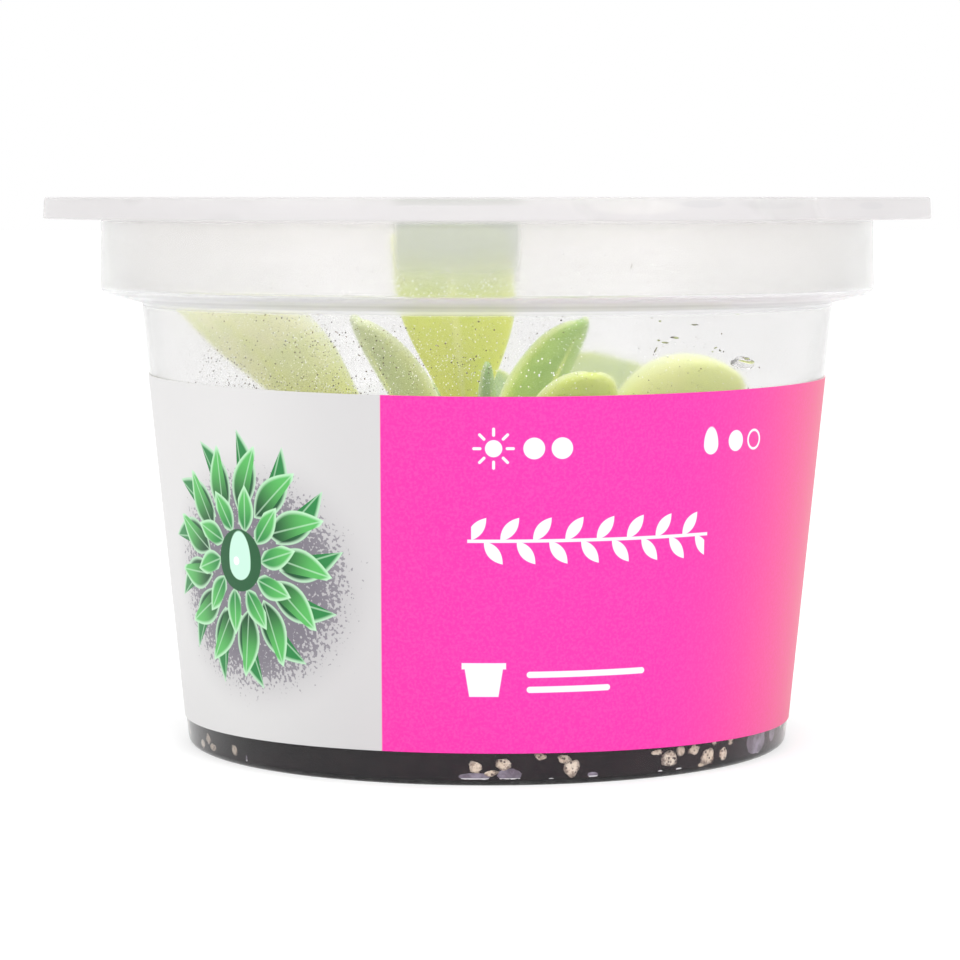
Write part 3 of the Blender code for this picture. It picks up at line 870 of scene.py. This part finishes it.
def make_lid(finish):
    """The lid: skirt, rim, ring that hangs inside the collar, and sunk panel, in one thin moulding."""
    skirt_z = HEIGHT - SKIRT_DEPTH
    panel_z = HEIGHT - PANEL_DROP
    plug_z = HEIGHT - PLUG_DEPTH
    plug_inner = PLUG_RADIUS - PLUG_THICK
    skirt_inner = LID_RADIUS - SKIRT_THICK
    corners = [
        (0.0, panel_z, 0),
        (plug_inner, panel_z, PANEL_FILLET),
        (plug_inner, HEIGHT, SOFT_FILLET),
        (LID_RADIUS - LID_TAPER, HEIGHT, SOFT_FILLET),
        (LID_RADIUS, skirt_z, SHARP_FILLET),
        (skirt_inner, skirt_z, SHARP_FILLET),
        (skirt_inner, HEIGHT - LID_THICK, LID_INNER_FILLET),
        (PLUG_RADIUS, HEIGHT - LID_THICK, SOFT_FILLET),
        (PLUG_RADIUS, plug_z, SOFT_FILLET),
        (plug_inner, plug_z, LID_INNER_FILLET),
        (plug_inner, panel_z - PANEL_THICK, PANEL_FILLET),
        (0.0, panel_z - PANEL_THICK, 0),
    ]
    profile = finer(filleted(corners), LONGEST_SIDE)
    points, faces = turned(lambda angle: profile)
    return piece("press_lid", points, faces, finish, "lid_plastic", ["lid"])


def label_points(lift):
    """One skin of the label, column by column: taller toward its ends and a little higher at the left."""
    points = []
    for i in range(LABEL_COLUMNS + 1):
        angle = math.radians(-90 + LABEL_REACH * (2 * i / LABEL_COLUMNS - 1))
        bow = LABEL_BOW * math.cos(angle) ** 2
        lean = LABEL_LEAN * math.cos(angle)
        low = LABEL_BOTTOM_Z - bow - lean
        high = LABEL_TOP_Z + bow - lean
        for k in range(LABEL_ROWS + 1):
            z = high + (low - high) * k / LABEL_ROWS
            r = body_radius(z) + lift
            points.append((r * math.cos(angle), r * math.sin(angle), z))
    return points


def make_label(finish):
    """A thin film on the front and sides of the cone."""
    points = label_points(LABEL_LIFT + LABEL_FILM) + label_points(LABEL_LIFT)
    columns, rows = LABEL_COLUMNS, LABEL_ROWS
    skin = (columns + 1) * (rows + 1)

    def at(i, k, inner):
        return i * (rows + 1) + k + inner * skin

    faces = []
    for i in range(columns):
        for k in range(rows):
            faces.append((at(i, k, 0), at(i, k + 1, 0), at(i + 1, k + 1, 0), at(i + 1, k, 0)))
            faces.append((at(i, k, 1), at(i + 1, k, 1), at(i + 1, k + 1, 1), at(i, k + 1, 1)))
        for k in (0, rows):
            edge = (at(i, k, 0), at(i + 1, k, 0), at(i + 1, k, 1), at(i, k, 1))
            faces.append(edge if k == 0 else edge[::-1])
    for k in range(rows):
        faces.append((at(0, k, 0), at(0, k, 1), at(0, k + 1, 1), at(0, k + 1, 0)))
        faces.append((at(columns, k, 0), at(columns, k + 1, 0), at(columns, k + 1, 1), at(columns, k, 1)))
    return piece("printed_label", points, faces, finish, "label_paper", ["label"])


def soil_height(x, y):
    """Height of the substrate's top, in millimetres: low swells with crumbs on them."""
    swell = SOIL_RELIEF * noise.noise(Vector((x, y, 0.0)) / 9.0)
    crumbs = 0.35 * noise.noise(Vector((x, y, 3.0)) / 1.3) + 0.2 * noise.noise(Vector((x, y, 7.0)) / 0.6)
    return SOIL_Z + swell + crumbs


def wall_pit(angle, z):
    """Depth of the small hollows where the fill meets the wall, none of them in front or low down."""
    spot = Vector((30 * math.cos(angle), 30 * math.sin(angle), z))
    depth = max(0.0, noise.noise(spot / 1.6) - 0.3)
    return depth * smooth(0.6 + math.sin(angle)) * smooth((z - 2.0) / 2.0)


def make_substrate(finish):
    """The fill, pressed wet against the wall and the floor."""
    low_z = WALL - WET_PRESS
    step_r = foot_step_radius(low_z)
    hole_r = CROWN_RADIUS + GAP
    hole_z = CROWN_BOTTOM_Z - GAP
    base_round = BASE_FILLET - WALL + WET_PRESS
    corner_z = low_z + base_round

    def wall_at(z):
        return body_radius(z) - WALL + WET_PRESS

    def profile_at(angle):
        profile = [(0.0, hole_z), (hole_r, hole_z)]
        for k in range(FILL_RINGS + 1):
            r = hole_r + (wall_at(SOIL_Z) - hole_r) * k / FILL_RINGS
            profile.append((r, soil_height(r * math.cos(angle), r * math.sin(angle))))
        for k in range(1, FILL_SIDE_ROWS):
            z = SOIL_Z + (corner_z - SOIL_Z) * k / (FILL_SIDE_ROWS - 1)
            profile.append((wall_at(z) - wall_pit(angle, z), z))
        for k in range(1, FILL_CORNER_STEPS + 1):
            turn = math.pi / 2 * k / FILL_CORNER_STEPS
            r = wall_at(corner_z) - base_round * (1 - math.cos(turn))
            profile.append((r, corner_z - base_round * math.sin(turn)))
        profile += [(step_r, low_z), (step_r - FOOT_HEIGHT, low_z + FOOT_HEIGHT), (0.0, low_z + FOOT_HEIGHT)]
        return profile

    points, faces = turned(profile_at, FILL_TURN_STEPS)
    return piece("wet_peat", points, faces, finish, "substrate", ["substrate"], sharp_above=80.0)


def grain_shape(rng, size, knobs=1.0):
    """One grain round the origin, knobbly or nearly smooth: its points and faces."""
    bm = bmesh.new()
    bmesh.ops.create_icosphere(bm, subdivisions=3, radius=1.0)
    seed = Vector((rng.uniform(0, 50), rng.uniform(0, 50), rng.uniform(0, 50)))
    stretch = Vector((rng.uniform(0.8, 1.25), rng.uniform(0.75, 1.1), rng.uniform(0.7, 1.05)))
    stretch = Vector((1, 1, 1)).lerp(stretch, knobs)
    turn = Matrix.Rotation(rng.uniform(0, math.tau), 3, Vector((rng.random(), rng.random(), 1)).normalized())
    points = []
    for vert in bm.verts:
        bumps = 0.32 * noise.noise(vert.co * 1.3 + seed) + 0.16 * noise.noise(vert.co * 3.6 + seed)
        co = Vector((vert.co.x * stretch.x, vert.co.y * stretch.y, vert.co.z * stretch.z))
        points.append(turn @ co * size * (1 + knobs * bumps))
    faces = [tuple(v.index for v in f.verts) for f in bm.faces]
    bm.free()
    return points, faces


def inner_radius(z):
    """Radius of the cup's inner face, with its rounded corner at the floor."""
    corner = BASE_FILLET - WALL
    below = max(WALL + corner - z, 0.0)
    return body_radius(z) - WALL - corner + math.sqrt(max(corner**2 - below**2, 0.0))


class Lumps:
    """Lumps gathered into one mesh, each with its share of the way from its middle to its rim."""

    def __init__(self, rng):
        self.rng = rng
        self.points, self.faces, self.rims = [], [], []

    def add(self, points, faces, rims):
        base = len(self.points)
        self.points += points
        self.rims += rims
        self.faces += [tuple(base + i for i in face) for face in faces]

    def add_loose(self, size, centre):
        points, faces = grain_shape(self.rng, size)
        self.add([p + centre for p in points], faces, [0.0] * len(points))

    def add_pressed(self, degrees, z, half_wide, half_high, press, knobs=1.0):
        """A lump flattened against the cup's wall, which it presses by a little."""
        shape, faces = grain_shape(self.rng, 1.07, knobs)
        depth = min(half_wide, half_high)
        middle = inner_radius(z) - 0.35 * depth
        points, rims = [], []
        for p in shape:
            height = max(z + p.z * half_high, WALL - 0.5 * press)
            limit = inner_radius(height)
            angle = math.radians(degrees - 90) + p.y * half_wide / limit
            radius = min(middle + p.x * depth, limit + press)
            points.append(Vector((radius * math.cos(angle), radius * math.sin(angle), height)))
            rims.append(math.hypot(p.y, p.z))
        self.add(points, faces, rims)

    def gathered(self, name, finish, sharp_above):
        numbers = {"rim": self.rims}
        return piece(name, self.points, self.faces, finish, "substrate", (), sharp_above, numbers)


# Grains that show at the wall in front: angle from the front in degrees, height, half width and half height
WALL_GRAINS = (
    (-65.0, 2.1, 0.75, 0.62), (-68.3, 1.3, 0.70, 0.55), (-62.9, 1.3, 0.95, 0.55), (-54.4, 1.7, 0.60, 0.62),
    (-2.1, 2.05, 0.78, 0.78), (0.4, 1.45, 0.74, 0.40), (2.8, 2.45, 0.86, 0.78), (9.5, 3.1, 0.84, 0.44),
    (13.7, 2.8, 0.86, 0.56), (15.2, 1.9, 0.92, 1.15), (32.1, 2.85, 0.92, 0.42), (35.1, 2.0, 1.0, 0.92),
    (37.6, 2.7, 0.62, 0.62), (40.7, 2.6, 0.98, 0.70), (44.6, 1.75, 1.20, 1.05), (49.0, 1.75, 0.85, 1.0),
    (42.9, 0.85, 0.50, 0.26), (46.0, 3.1, 0.50, 0.26), (50.9, 2.9, 0.50, 0.42),
)
GRAIN_PRESS = 0.07

# Clusters at the wall round the sides and back, and grains that lie on top between two radii
CLUSTERS = 13
CLUSTER_START = 70
CLUSTER_STEP = 17.5
TOP_GRAINS = 70
TOP_INNER = 6.8
TOP_OUTER = 33.0
GOLDEN_ANGLE = math.radians(137.508)


def make_grains(finish):
    """Pale grains in the substrate: at the wall in front, in like clusters all round it, and on top."""
    rng = random.Random(11)
    lumps = Lumps(rng)
    for degrees, z, half_wide, half_high in WALL_GRAINS:
        lumps.add_pressed(degrees, z, half_wide, half_high, GRAIN_PRESS)
    for cluster in range(CLUSTERS):
        middle = CLUSTER_START + cluster * CLUSTER_STEP + rng.uniform(-5, 5)
        for _ in range(rng.randint(2, 6)):
            size = rng.uniform(0.45, 1.05)
            height = rng.uniform(1.4, 12.0) if rng.random() < 0.5 else rng.uniform(1.4, 3.9)
            degrees = middle + rng.uniform(-6, 6)
            lumps.add_pressed(degrees, height, size, size * rng.uniform(0.7, 1.2), GRAIN_PRESS)
    for i in range(TOP_GRAINS):
        angle = i * GOLDEN_ANGLE
        reach = math.sqrt(TOP_INNER**2 + (TOP_OUTER**2 - TOP_INNER**2) * (i + 0.5) / TOP_GRAINS)
        x, y = reach * math.cos(angle), reach * math.sin(angle)
        size = rng.uniform(0.55, 1.25)
        lumps.add_loose(size, Vector((x, y, soil_height(x, y) + 0.2 * size)))
    return lumps.gathered("pumice_grains", finish, sharp_above=70.0)


# Wet pockets at the wall in front: angle from the front, height, half width and half height
# The narrow one at -50.6 degrees is there mostly for the painted white glint low in the pockets' finish.
POCKETS = (
    (-2.4, 1.05, 1.75, 0.42), (3.9, 1.25, 1.40, 0.72), (19.3, 0.98, 0.62, 0.34), (60.5, 2.3, 2.3, 1.8),
    (11.5, 0.75, 0.34, 0.10), (33.1, 0.78, 0.36, 0.12), (37.4, 0.80, 0.50, 0.12), (-50.6, 1.1, 0.14, 0.46),
    (68.0, 2.8, 1.0, 1.2),
)
POCKET_PRESS = 0.05
POCKET_KNOBS = 0.3
BACK_POCKETS = 9


def make_pockets(finish):
    """Thin films against the wall where water and air are caught, in front and here and there behind."""
    rng = random.Random(5)
    lumps = Lumps(rng)
    for degrees, z, half_wide, half_high in POCKETS:
        lumps.add_pressed(degrees, z, half_wide, half_high, POCKET_PRESS, POCKET_KNOBS)
    for _ in range(BACK_POCKETS):
        place = rng.uniform(80, 290), rng.uniform(1.8, 12.0)
        half_wide, half_high = rng.uniform(0.8, 2.4), rng.uniform(0.5, 1.2)
        lumps.add_pressed(*place, half_wide, half_high, POCKET_PRESS, POCKET_KNOBS)
    return lumps.gathered("wet_pockets", finish, sharp_above=60.0)


def crown_radius(z):
    share = min(max((z - CROWN_NECK_Z) / (CROWN_TOP_Z - CROWN_NECK_Z), 0.0), 1.0)
    return CROWN_RADIUS + (CROWN_TOP_RADIUS - CROWN_RADIUS) * share


def make_crown(finish):
    """The short stem, slightly knobbly, with a rounded foot in the substrate."""
    corners = [
        (0.0, CROWN_TOP_Z, 0),
        (CROWN_TOP_RADIUS, CROWN_TOP_Z, CROWN_TOP_FILLET),
        (CROWN_RADIUS, CROWN_NECK_Z, CROWN_NECK_FILLET),
        (CROWN_RADIUS, CROWN_BOTTOM_Z, CROWN_FOOT_FILLET),
        (0.0, CROWN_BOTTOM_Z, 0),
    ]
    profile = finer(filleted(corners), CROWN_LONGEST_SIDE)

    def profile_at(angle):
        around = Vector((2 * math.cos(angle), 2 * math.sin(angle), 0))
        knobs = [1 - 0.05 * abs(noise.noise(around + Vector((0, 0, z * 0.7)))) for _, z in profile]
        return [(r * knob, z) for (r, z), knob in zip(profile, knobs)]

    points, faces = turned(profile_at, CROWN_TURN_STEPS)
    return piece("crown_stem", points, faces, finish, "crown", ["crown"], sharp_above=70.0)


# Shares of a leaf's half width and thickness: its rolled rim, and the groove and midrib down its middle
RIM_START = 0.72
RIM_ROLL = 0.10
RIDGE_HALF_WIDTH = 0.13
GROOVE_DEPTH = 0.16
MIDRIB_DEPTH = 0.30
EDGE_BLUNTNESS = 0.55
TIP_THINNING = 0.22

# Rows along a leaf up to its rounded end, rows round that end, and points round each row
LEAF_ROWS = 34
TIP_ROWS = 14
LEAF_LOOP = 36


class Blade:
    """One leaf's middle surface, t along it from 0 to 1 and s across it from -1 to 1."""

    def __init__(self, leaf):
        azimuth, base_z, tip, across, width, outline, bow, cupping, skew, tone = leaf
        self.azimuth, self.across, self.width = azimuth, across, width
        self.widens, self.widest, self.rounds = outline
        self.cupping, self.skew, self.tone = cupping, skew, tone
        self.start = horizontal(azimuth) * (crown_radius(base_z) + GAP + BLADE_THICK / 2)
        self.start.z = base_z
        self.end = Vector(tip)
        chord = self.end - self.start
        side = chord.cross(Vector((0, 0, 1))).normalized()
        self.middle = (self.start + self.end) / 2 - side.cross(chord).normalized() * bow
        self.seed = Vector(tip) * 0.37

    def half_width(self, t):
        flare = PETIOLE_SHARE + (1 - PETIOLE_SHARE) * smooth((t - self.widens) / (self.widest - self.widens))
        if t > self.rounds:
            flare *= math.sqrt(max(1 - ((t - self.rounds) / (1 - self.rounds)) ** 2, 0.0))
        return self.width / 2 * flare

    def frame(self, t):
        """Spine point, direction across and inward normal at t."""
        spine = self.start * (1 - t) ** 2 + self.middle * 2 * t * (1 - t) + self.end * t**2
        tangent = ((self.middle - self.start) * (1 - t) + (self.end - self.middle) * t).normalized()
        lateral = horizontal(self.azimuth + 90).lerp(horizontal(self.across), smooth(t / 0.8))
        square = (lateral - tangent * lateral.dot(tangent)).normalized()
        inward = tangent.cross(square)
        return spine, square.lerp(lateral, self.skew * smooth(t)), inward

    def point(self, t, s, lift=0.0):
        """A point of the cupped and gently rippled blade, lifted off its middle surface."""
        spine, lateral, inward = self.frame(t)
        half = self.half_width(t)
        curl = max(abs(s) - RIM_START, 0.0) / (1 - RIM_START)
        rise = self.cupping * (s * s - 0.3) + RIM_ROLL * curl * curl
        ripple = 0.10 * noise.noise(self.seed + Vector((t * 5.0, s * 1.6, 0.0)))
        drawn_in = 1 - 0.12 * self.cupping * s * s - 0.05 * curl * curl
        return spine + lateral * half * s * drawn_in + inward * (half * rise + ripple + lift)


def leaf_stations(blade):
    """Places along a leaf: even up to where it rounds off, then closer toward its tip."""
    turn = math.pi / 2 / TIP_ROWS
    body = [blade.rounds * k / LEAF_ROWS for k in range(LEAF_ROWS)]
    return body + [blade.rounds + (1 - blade.rounds) * math.sin(turn * k) for k in range(TIP_ROWS)]


def leaf_lift(blade, t, turn):
    """Height of the flesh over the middle surface, at an angle round the leaf's section."""
    thinning = min(1.0, blade.half_width(t) / (TIP_THINNING * blade.width / 2))
    side = math.sin(turn)
    flesh = BLADE_THICK / 2 * math.copysign(abs(side) ** EDGE_BLUNTNESS, side) * thinning
    ridge = math.exp(-((math.cos(turn) / RIDGE_HALF_WIDTH) ** 2)) * (1 - t)
    return flesh - (GROOVE_DEPTH if side > 0 else MIDRIB_DEPTH) * ridge * abs(side)


def leaf_faces(rows):
    """Faces of a leaf's rows, closed by fans to its heel and tip, the last two points."""
    faces = []
    for i in range(rows - 1):
        for j in range(LEAF_LOOP):
            k = (j + 1) % LEAF_LOOP
            a, b = i * LEAF_LOOP + j, i * LEAF_LOOP + k
            faces.append((a, b, b + LEAF_LOOP, a + LEAF_LOOP))
    heel = rows * LEAF_LOOP
    last = (rows - 1) * LEAF_LOOP
    for j in range(LEAF_LOOP):
        k = (j + 1) % LEAF_LOOP
        faces.append((heel, k, j))
        faces.append((heel + 1, last + j, last + k))
    return faces


def make_leaf(number, leaf, finish):
    """A fleshy blade: a grooved upper face, a midrib below, and a rounded rolled rim."""
    blade = Blade(leaf)
    stations = leaf_stations(blade)
    points, along, across = [], [], []
    for t in stations:
        for j in range(LEAF_LOOP):
            turn = math.tau * j / LEAF_LOOP
            s = math.cos(turn)
            points.append(blade.point(t, s, leaf_lift(blade, t, turn)))
            along.append(t)
            across.append(s)
    points += [blade.point(0.0, 0.0), blade.point(1.0, 0.0)]
    along += [0.0, 1.0]
    across += [0.0, 0.0]
    name = f"leaf_{number:02d}"
    numbers = {"along": along, "across": across, "tone": [blade.tone] * len(points)}
    faces = leaf_faces(len(stations))
    obj = piece(f"fleshy_{name}", points, faces, finish, "leaf", [name], 75.0, numbers)
    turn_outward(obj)
    return obj


def turn_outward(obj):
    """Makes a closed mesh's faces point out."""
    bm = bmesh.new()
    bm.from_mesh(obj.data)
    bmesh.ops.recalc_face_normals(bm, faces=bm.faces)
    bm.to_mesh(obj.data)
    bm.free()


def make_dew(finish):
    """Gland dew: small beads on both faces of every blade, most of them on the upper one."""
    rng = random.Random(23)
    places = []
    for leaf in LEAVES:
        blade = Blade(leaf)
        count = int(30 + 7 * blade.width)
        for _ in range(count):
            t = 1 - 0.75 * rng.random() ** 1.2
            s = rng.uniform(-0.93, 0.93)
            if blade.half_width(t) < 0.8:
                continue
            face = rng.choice((1, 1, -1))
            radius = rng.uniform(0.05, 0.13)
            centre = blade.point(t, s, face * (BLADE_THICK / 2 + radius * 0.7))
            places.append((centre, radius, blade.frame(t)[2], 0.9))
    points, faces = beads(places)
    return piece("gland_dew", points, faces, finish, "leaf", sharp_above=180.0)


def inner_spot(degrees, z, radius):
    """A point at an angle from the front and a radius from the axis, and the direction inward from it."""
    out = horizontal(degrees - 90)
    spot = out * radius
    spot.z = z
    return spot, -out


def wall_spot(degrees, z, off):
    """A point just inside the body's wall, and the direction inward from it."""
    return inner_spot(degrees, z, body_radius(z) - WALL - off)


def plug_spot(degrees, z, off):
    """A point just inside the lid's hanging ring, and the direction inward from it."""
    return inner_spot(degrees, z, PLUG_RADIUS - PLUG_THICK - off)


# Where specks sit on the wall, by the angle from the front in degrees
FRONT_HALF_ANGLE = 75
LEFT_START = -62
TALL_LEAF_START = -16
LEFT_END = -4
MIDDLE_END = 15
SCRAP_ZONE = (23, 40)


def speck_density(degrees, z):
    """How thickly specks sit on the wall above the label: thickest at the front's left and low down."""
    low = 1 - (z - LABEL_TOP_Z) / (LEDGE_Z - LABEL_TOP_Z)
    patch = 0.6 + 0.9 * noise.noise(Vector((degrees / 14.0, z / 5.0, 1.7)))
    if abs(degrees) > FRONT_HALF_ANGLE:
        side = 0.3
    elif degrees < LEFT_END:
        side = smooth((degrees - LEFT_START) / 12) * (1 - 0.6 * smooth((degrees - TALL_LEAF_START) / 6))
    elif degrees < MIDDLE_END:
        side = 0.4
    else:
        side = 0.10 if SCRAP_ZONE[0] < degrees < SCRAP_ZONE[1] else 0.03
    return max(0.0, patch) * side * (0.35 + 0.9 * low)


# How many specks, their shares of dew, and how far a bead is sunk and flattened, in shares of its radius
SPECKS = 9000
DEW_SHARE = 0.6
RING_SPECKS = 1500
RING_DEW_SHARE = 0.85
RING_FRONT_DROPS = 90
BEAD_SINK = 0.4
BEAD_HEIGHT = 0.6

# Larger drops on the wall in front: how many, then the ranges of their angles, heights and radii
WALL_DROPS = (
    (50, (-12, 17), (41.5, 47.5), (0.05, 0.08)),
    (16, (4, 11), (42.3, 45.8), (0.07, 0.12)),
)


def speck(spot_at, degrees, z, radius):
    """One flattened bead, sunk a little into the surface that it sits on."""
    spot, inward = spot_at(degrees, z, radius * BEAD_SINK)
    return spot, radius, inward, BEAD_HEIGHT


def wall_specks(rng, drops, crumbs):
    """Condensation and peat dust on the wall above the label."""
    while len(drops) + len(crumbs) < SPECKS:
        degrees = rng.uniform(-180, 180)
        z = rng.uniform(LABEL_TOP_Z - 0.6, LEDGE_Z - 0.2)
        if rng.random() > speck_density(degrees, z):
            continue
        if rng.random() < DEW_SHARE:
            drops.append(speck(wall_spot, degrees, z, 0.036 + 0.04 * rng.random() ** 2))
        else:
            crumbs.append(speck(wall_spot, degrees, z, 0.036 + 0.07 * rng.random() ** 5))
    for count, turns, heights, radii in WALL_DROPS:
        for _ in range(count):
            radius = rng.uniform(*radii)
            drops.append(speck(wall_spot, rng.uniform(*turns), rng.uniform(*heights), radius))


def ring_specks(rng, drops, crumbs):
    """Beads on the lid's hanging ring, with more low down in front of the tall leaf."""
    for _ in range(RING_SPECKS):
        degrees = rng.uniform(-180, 180)
        height = rng.random() ** 1.8
        radius = rng.uniform(0.04, 0.10)
        sort = drops if rng.random() < RING_DEW_SHARE else crumbs
        sort.append(speck(plug_spot, degrees, 51.6 + 6.0 * height, radius))
    for _ in range(RING_FRONT_DROPS):
        radius = rng.uniform(0.05, 0.09)
        degrees = rng.uniform(-14, 5)
        drops.append(speck(plug_spot, degrees, 51.7 + 3.4 * rng.random() ** 1.6, radius))


def make_specks(dew_finish, dust_finish):
    """The fine drops and crumbs, gathered into one mesh each."""
    rng = random.Random(31)
    drops, crumbs = [], []
    wall_specks(rng, drops, crumbs)
    ring_specks(rng, drops, crumbs)
    piece("condensation", *beads(drops), dew_finish, "cup_plastic", sharp_above=180.0)
    piece("peat_specks", *beads(crumbs), dust_finish, "substrate", sharp_above=180.0)


# Scraps on the wall at the right: angle from the front, height, half length, half height, and lean in degrees
SCRAPS = (
    (30.7, 47.2, 0.52, 0.12, 8), (27.8, 46.95, 0.20, 0.096, 0), (29.0, 46.7, 0.42, 0.12, 6),
    (27.3, 45.95, 0.34, 0.088, -60), (34.4, 48.5, 0.46, 0.096, 5), (27.8, 48.95, 0.14, 0.096, 0),
    (39.0, 46.0, 0.22, 0.072, -20), (40.0, 45.7, 0.16, 0.08, 30), (26.3, 49.3, 0.16, 0.056, 0),
    (43.3, 49.5, 0.14, 0.08, 0), (21.2, 54.7, 0.26, 0.072, -70), (38.4, 45.6, 0.12, 0.064, 0),
)
SCRAP_HALF_THICK = 0.07
SCRAP_LIFT = 0.12

# The one large drop, low on the wall at the right
BIG_DROP_ANGLE = 45.6
BIG_DROP_Z = 44.3
BIG_DROP_SIZE = (1.5, 0.85, 0.8)
BIG_DROP_LEAN = 17


def laid_on(points, place, lean, size):
    """A shape scaled, leaned by degrees, and laid on a place, which is a spot and the direction inward."""
    spot, inward = place
    turn = inward.to_track_quat("Z", "Y") @ Matrix.Rotation(math.radians(lean), 3, "Z").to_quaternion()
    return [spot + turn @ Vector((p.x * size[0], p.y * size[1], p.z * size[2])) for p in points]


def make_scraps(finish):
    """Scraps of old leaf, flat on the wall, and one on the lid's ring."""
    rng = random.Random(3)
    points, faces = [], []
    for degrees, z, half_long, half_high, lean in SCRAPS:
        shape, sides = grain_shape(rng, 1.0)
        spot_at = wall_spot if z < COLLAR_CORNER_Z else plug_spot
        size = half_long, half_high, SCRAP_HALF_THICK
        base = len(points)
        points += laid_on(shape, spot_at(degrees, z, SCRAP_LIFT), lean, size)
        faces += [tuple(base + i for i in side) for side in sides]
    return piece("leaf_scraps", points, faces, finish, "substrate", sharp_above=60.0)


def make_big_drop(finish):
    """A large drop, cut flat where it meets the wall."""
    shape, faces = grain_shape(random.Random(9), 1.0)
    dome = [Vector((p.x, p.y, max(p.z, 0.0))) for p in shape]
    points = laid_on(dome, wall_spot(BIG_DROP_ANGLE, BIG_DROP_Z, 0.02), BIG_DROP_LEAN, BIG_DROP_SIZE)
    return piece("hanging_drop", points, faces, finish, "cup_plastic", sharp_above=70.0)


# Stage, light and camera


FLOOR_HALF = 6.0
FLOOR_DROP = 0.00002
LAMP_AIM = Vector((0, 0, 0.03))

# Large soft lamps that face the part: name, place, width and height, and power
SOFTBOXES = (
    ("left_softbox", (-0.75, -0.75, 0.5), (0.5, 0.8), 2.2),
    ("right_softbox", (0.75, -0.75, 0.5), (0.5, 0.8), 2.2),
    ("high_softbox", (0.0, -0.85, 0.95), (1.1, 0.6), 3.5),
)

# How bright the white room is along an axis: from one direction to the other, and at its two ends
SKY_SHARES = (
    ("Y", -0.95, -0.3, 0.80, 1.0),
    ("Z", 0.3, 0.95, 1.0, 0.9),
)

CAMERA_PLACE = (-0.0008, -0.3982, HEIGHT * MM)
CAMERA_LENS = 131.25
CAMERA_DIP = math.atan(283 / 3500)


def make_floor():
    """A pale floor that is partly lit from within, as a light table is."""
    shader = Shader("pale_floor")
    surface = shader.principled(
        Base_Color=(0.55, 0.55, 0.55),
        Roughness=0.9,
        Specular_IOR_Level=0.1,
        Emission_Color=(1.0, 1.0, 1.0),
        Emission_Strength=0.48,
    )
    finish = shader.finish(surface)
    mesh = bpy.data.meshes.new("studio_floor")
    corners = [(a * FLOOR_HALF, b * FLOOR_HALF, 0) for a, b in ((-1, -1), (1, -1), (1, 1), (-1, 1))]
    mesh.from_pydata(corners, [], [(0, 1, 2, 3)])
    mesh.materials.append(finish)
    floor = add_object("studio_floor", mesh)
    floor.location.z = -FLOOR_DROP


def make_sky():
    """A white room, brightest behind the part and a little darker overhead and toward the camera."""
    world = bpy.data.worlds.new("white_room")
    bpy.context.scene.world = world
    world.use_nodes = True
    tree = world.node_tree
    background = tree.nodes["Background"]
    coords = tree.nodes.new("ShaderNodeTexCoord")
    parts = tree.nodes.new("ShaderNodeSeparateXYZ")
    tree.links.new(coords.outputs["Generated"], parts.inputs[0])
    product = tree.nodes.new("ShaderNodeMath")
    product.operation = "MULTIPLY"
    for i, (axis, low, high, start, end) in enumerate(SKY_SHARES):
        share = tree.nodes.new("ShaderNodeMapRange")
        share.interpolation_type = "SMOOTHSTEP"
        tree.links.new(parts.outputs[axis], share.inputs["Value"])
        for key, value in (("From Min", low), ("From Max", high), ("To Min", start), ("To Max", end)):
            share.inputs[key].default_value = value
        tree.links.new(share.outputs[0], product.inputs[i])
    tree.links.new(product.outputs[0], background.inputs["Strength"])
    background.inputs["Color"].default_value = (1.0, 1.0, 1.0, 1.0)


def make_lights():
    """A large ceiling panel for soft even light, and softboxes in front."""
    data = bpy.data.lights.new("ceiling_light", "SUN")
    data.energy = 0.8
    data.angle = math.radians(100)
    add_object("ceiling_light", data)
    for name, place, size, power in SOFTBOXES:
        data = bpy.data.lights.new(name, "AREA")
        data.shape = "RECTANGLE"
        data.size, data.size_y = size
        data.energy = power
        lamp = add_object(name, data)
        lamp.location = place
        lamp.rotation_euler = (LAMP_AIM - Vector(place)).to_track_quat("-Z", "Y").to_euler()


def make_camera():
    """The photo's view: the lens is level with the lid and looks slightly down."""
    data = bpy.data.cameras.new("photo_camera")
    data.lens = CAMERA_LENS
    data.sensor_width = 36.0
    data.clip_start = 0.01
    camera = add_object("photo_camera", data)
    camera.location = CAMERA_PLACE
    camera.rotation_euler = (math.radians(90) - CAMERA_DIP, 0, 0)
    bpy.context.scene.camera = camera


def main():
    make_cup(cup_plastic())
    make_lid(lid_plastic())
    make_label(label_print())
    make_substrate(wet_substrate())
    make_grains(pumice())
    make_pockets(wet_pocket())
    make_crown(stem_flesh())
    flesh = leaf_flesh()
    for number, leaf in enumerate(LEAVES, 1):
        make_leaf(number, leaf, flesh)
    water = bead("water", (0.98, 0.98, 0.98), 0.02, 1.0)
    fine_dew = bead("fine_dew", (0.96, 0.97, 0.96), 0.3, 0.3)
    peat_dust = crumb("peat_dust", 900.0, (0.03, 0.02, 0.018), (0.20, 0.14, 0.07), 0.55)
    leaf_scrap = crumb("leaf_scrap", 1400.0, (0.08, 0.06, 0.04), (0.40, 0.45, 0.18), 0.4)
    make_dew(water)
    make_specks(fine_dew, peat_dust)
    make_scraps(leaf_scrap)
    make_big_drop(water)
    make_floor()
    make_sky()
    make_lights()
    make_camera()
    bpy.context.scene.view_settings.view_transform = "Standard"


main()
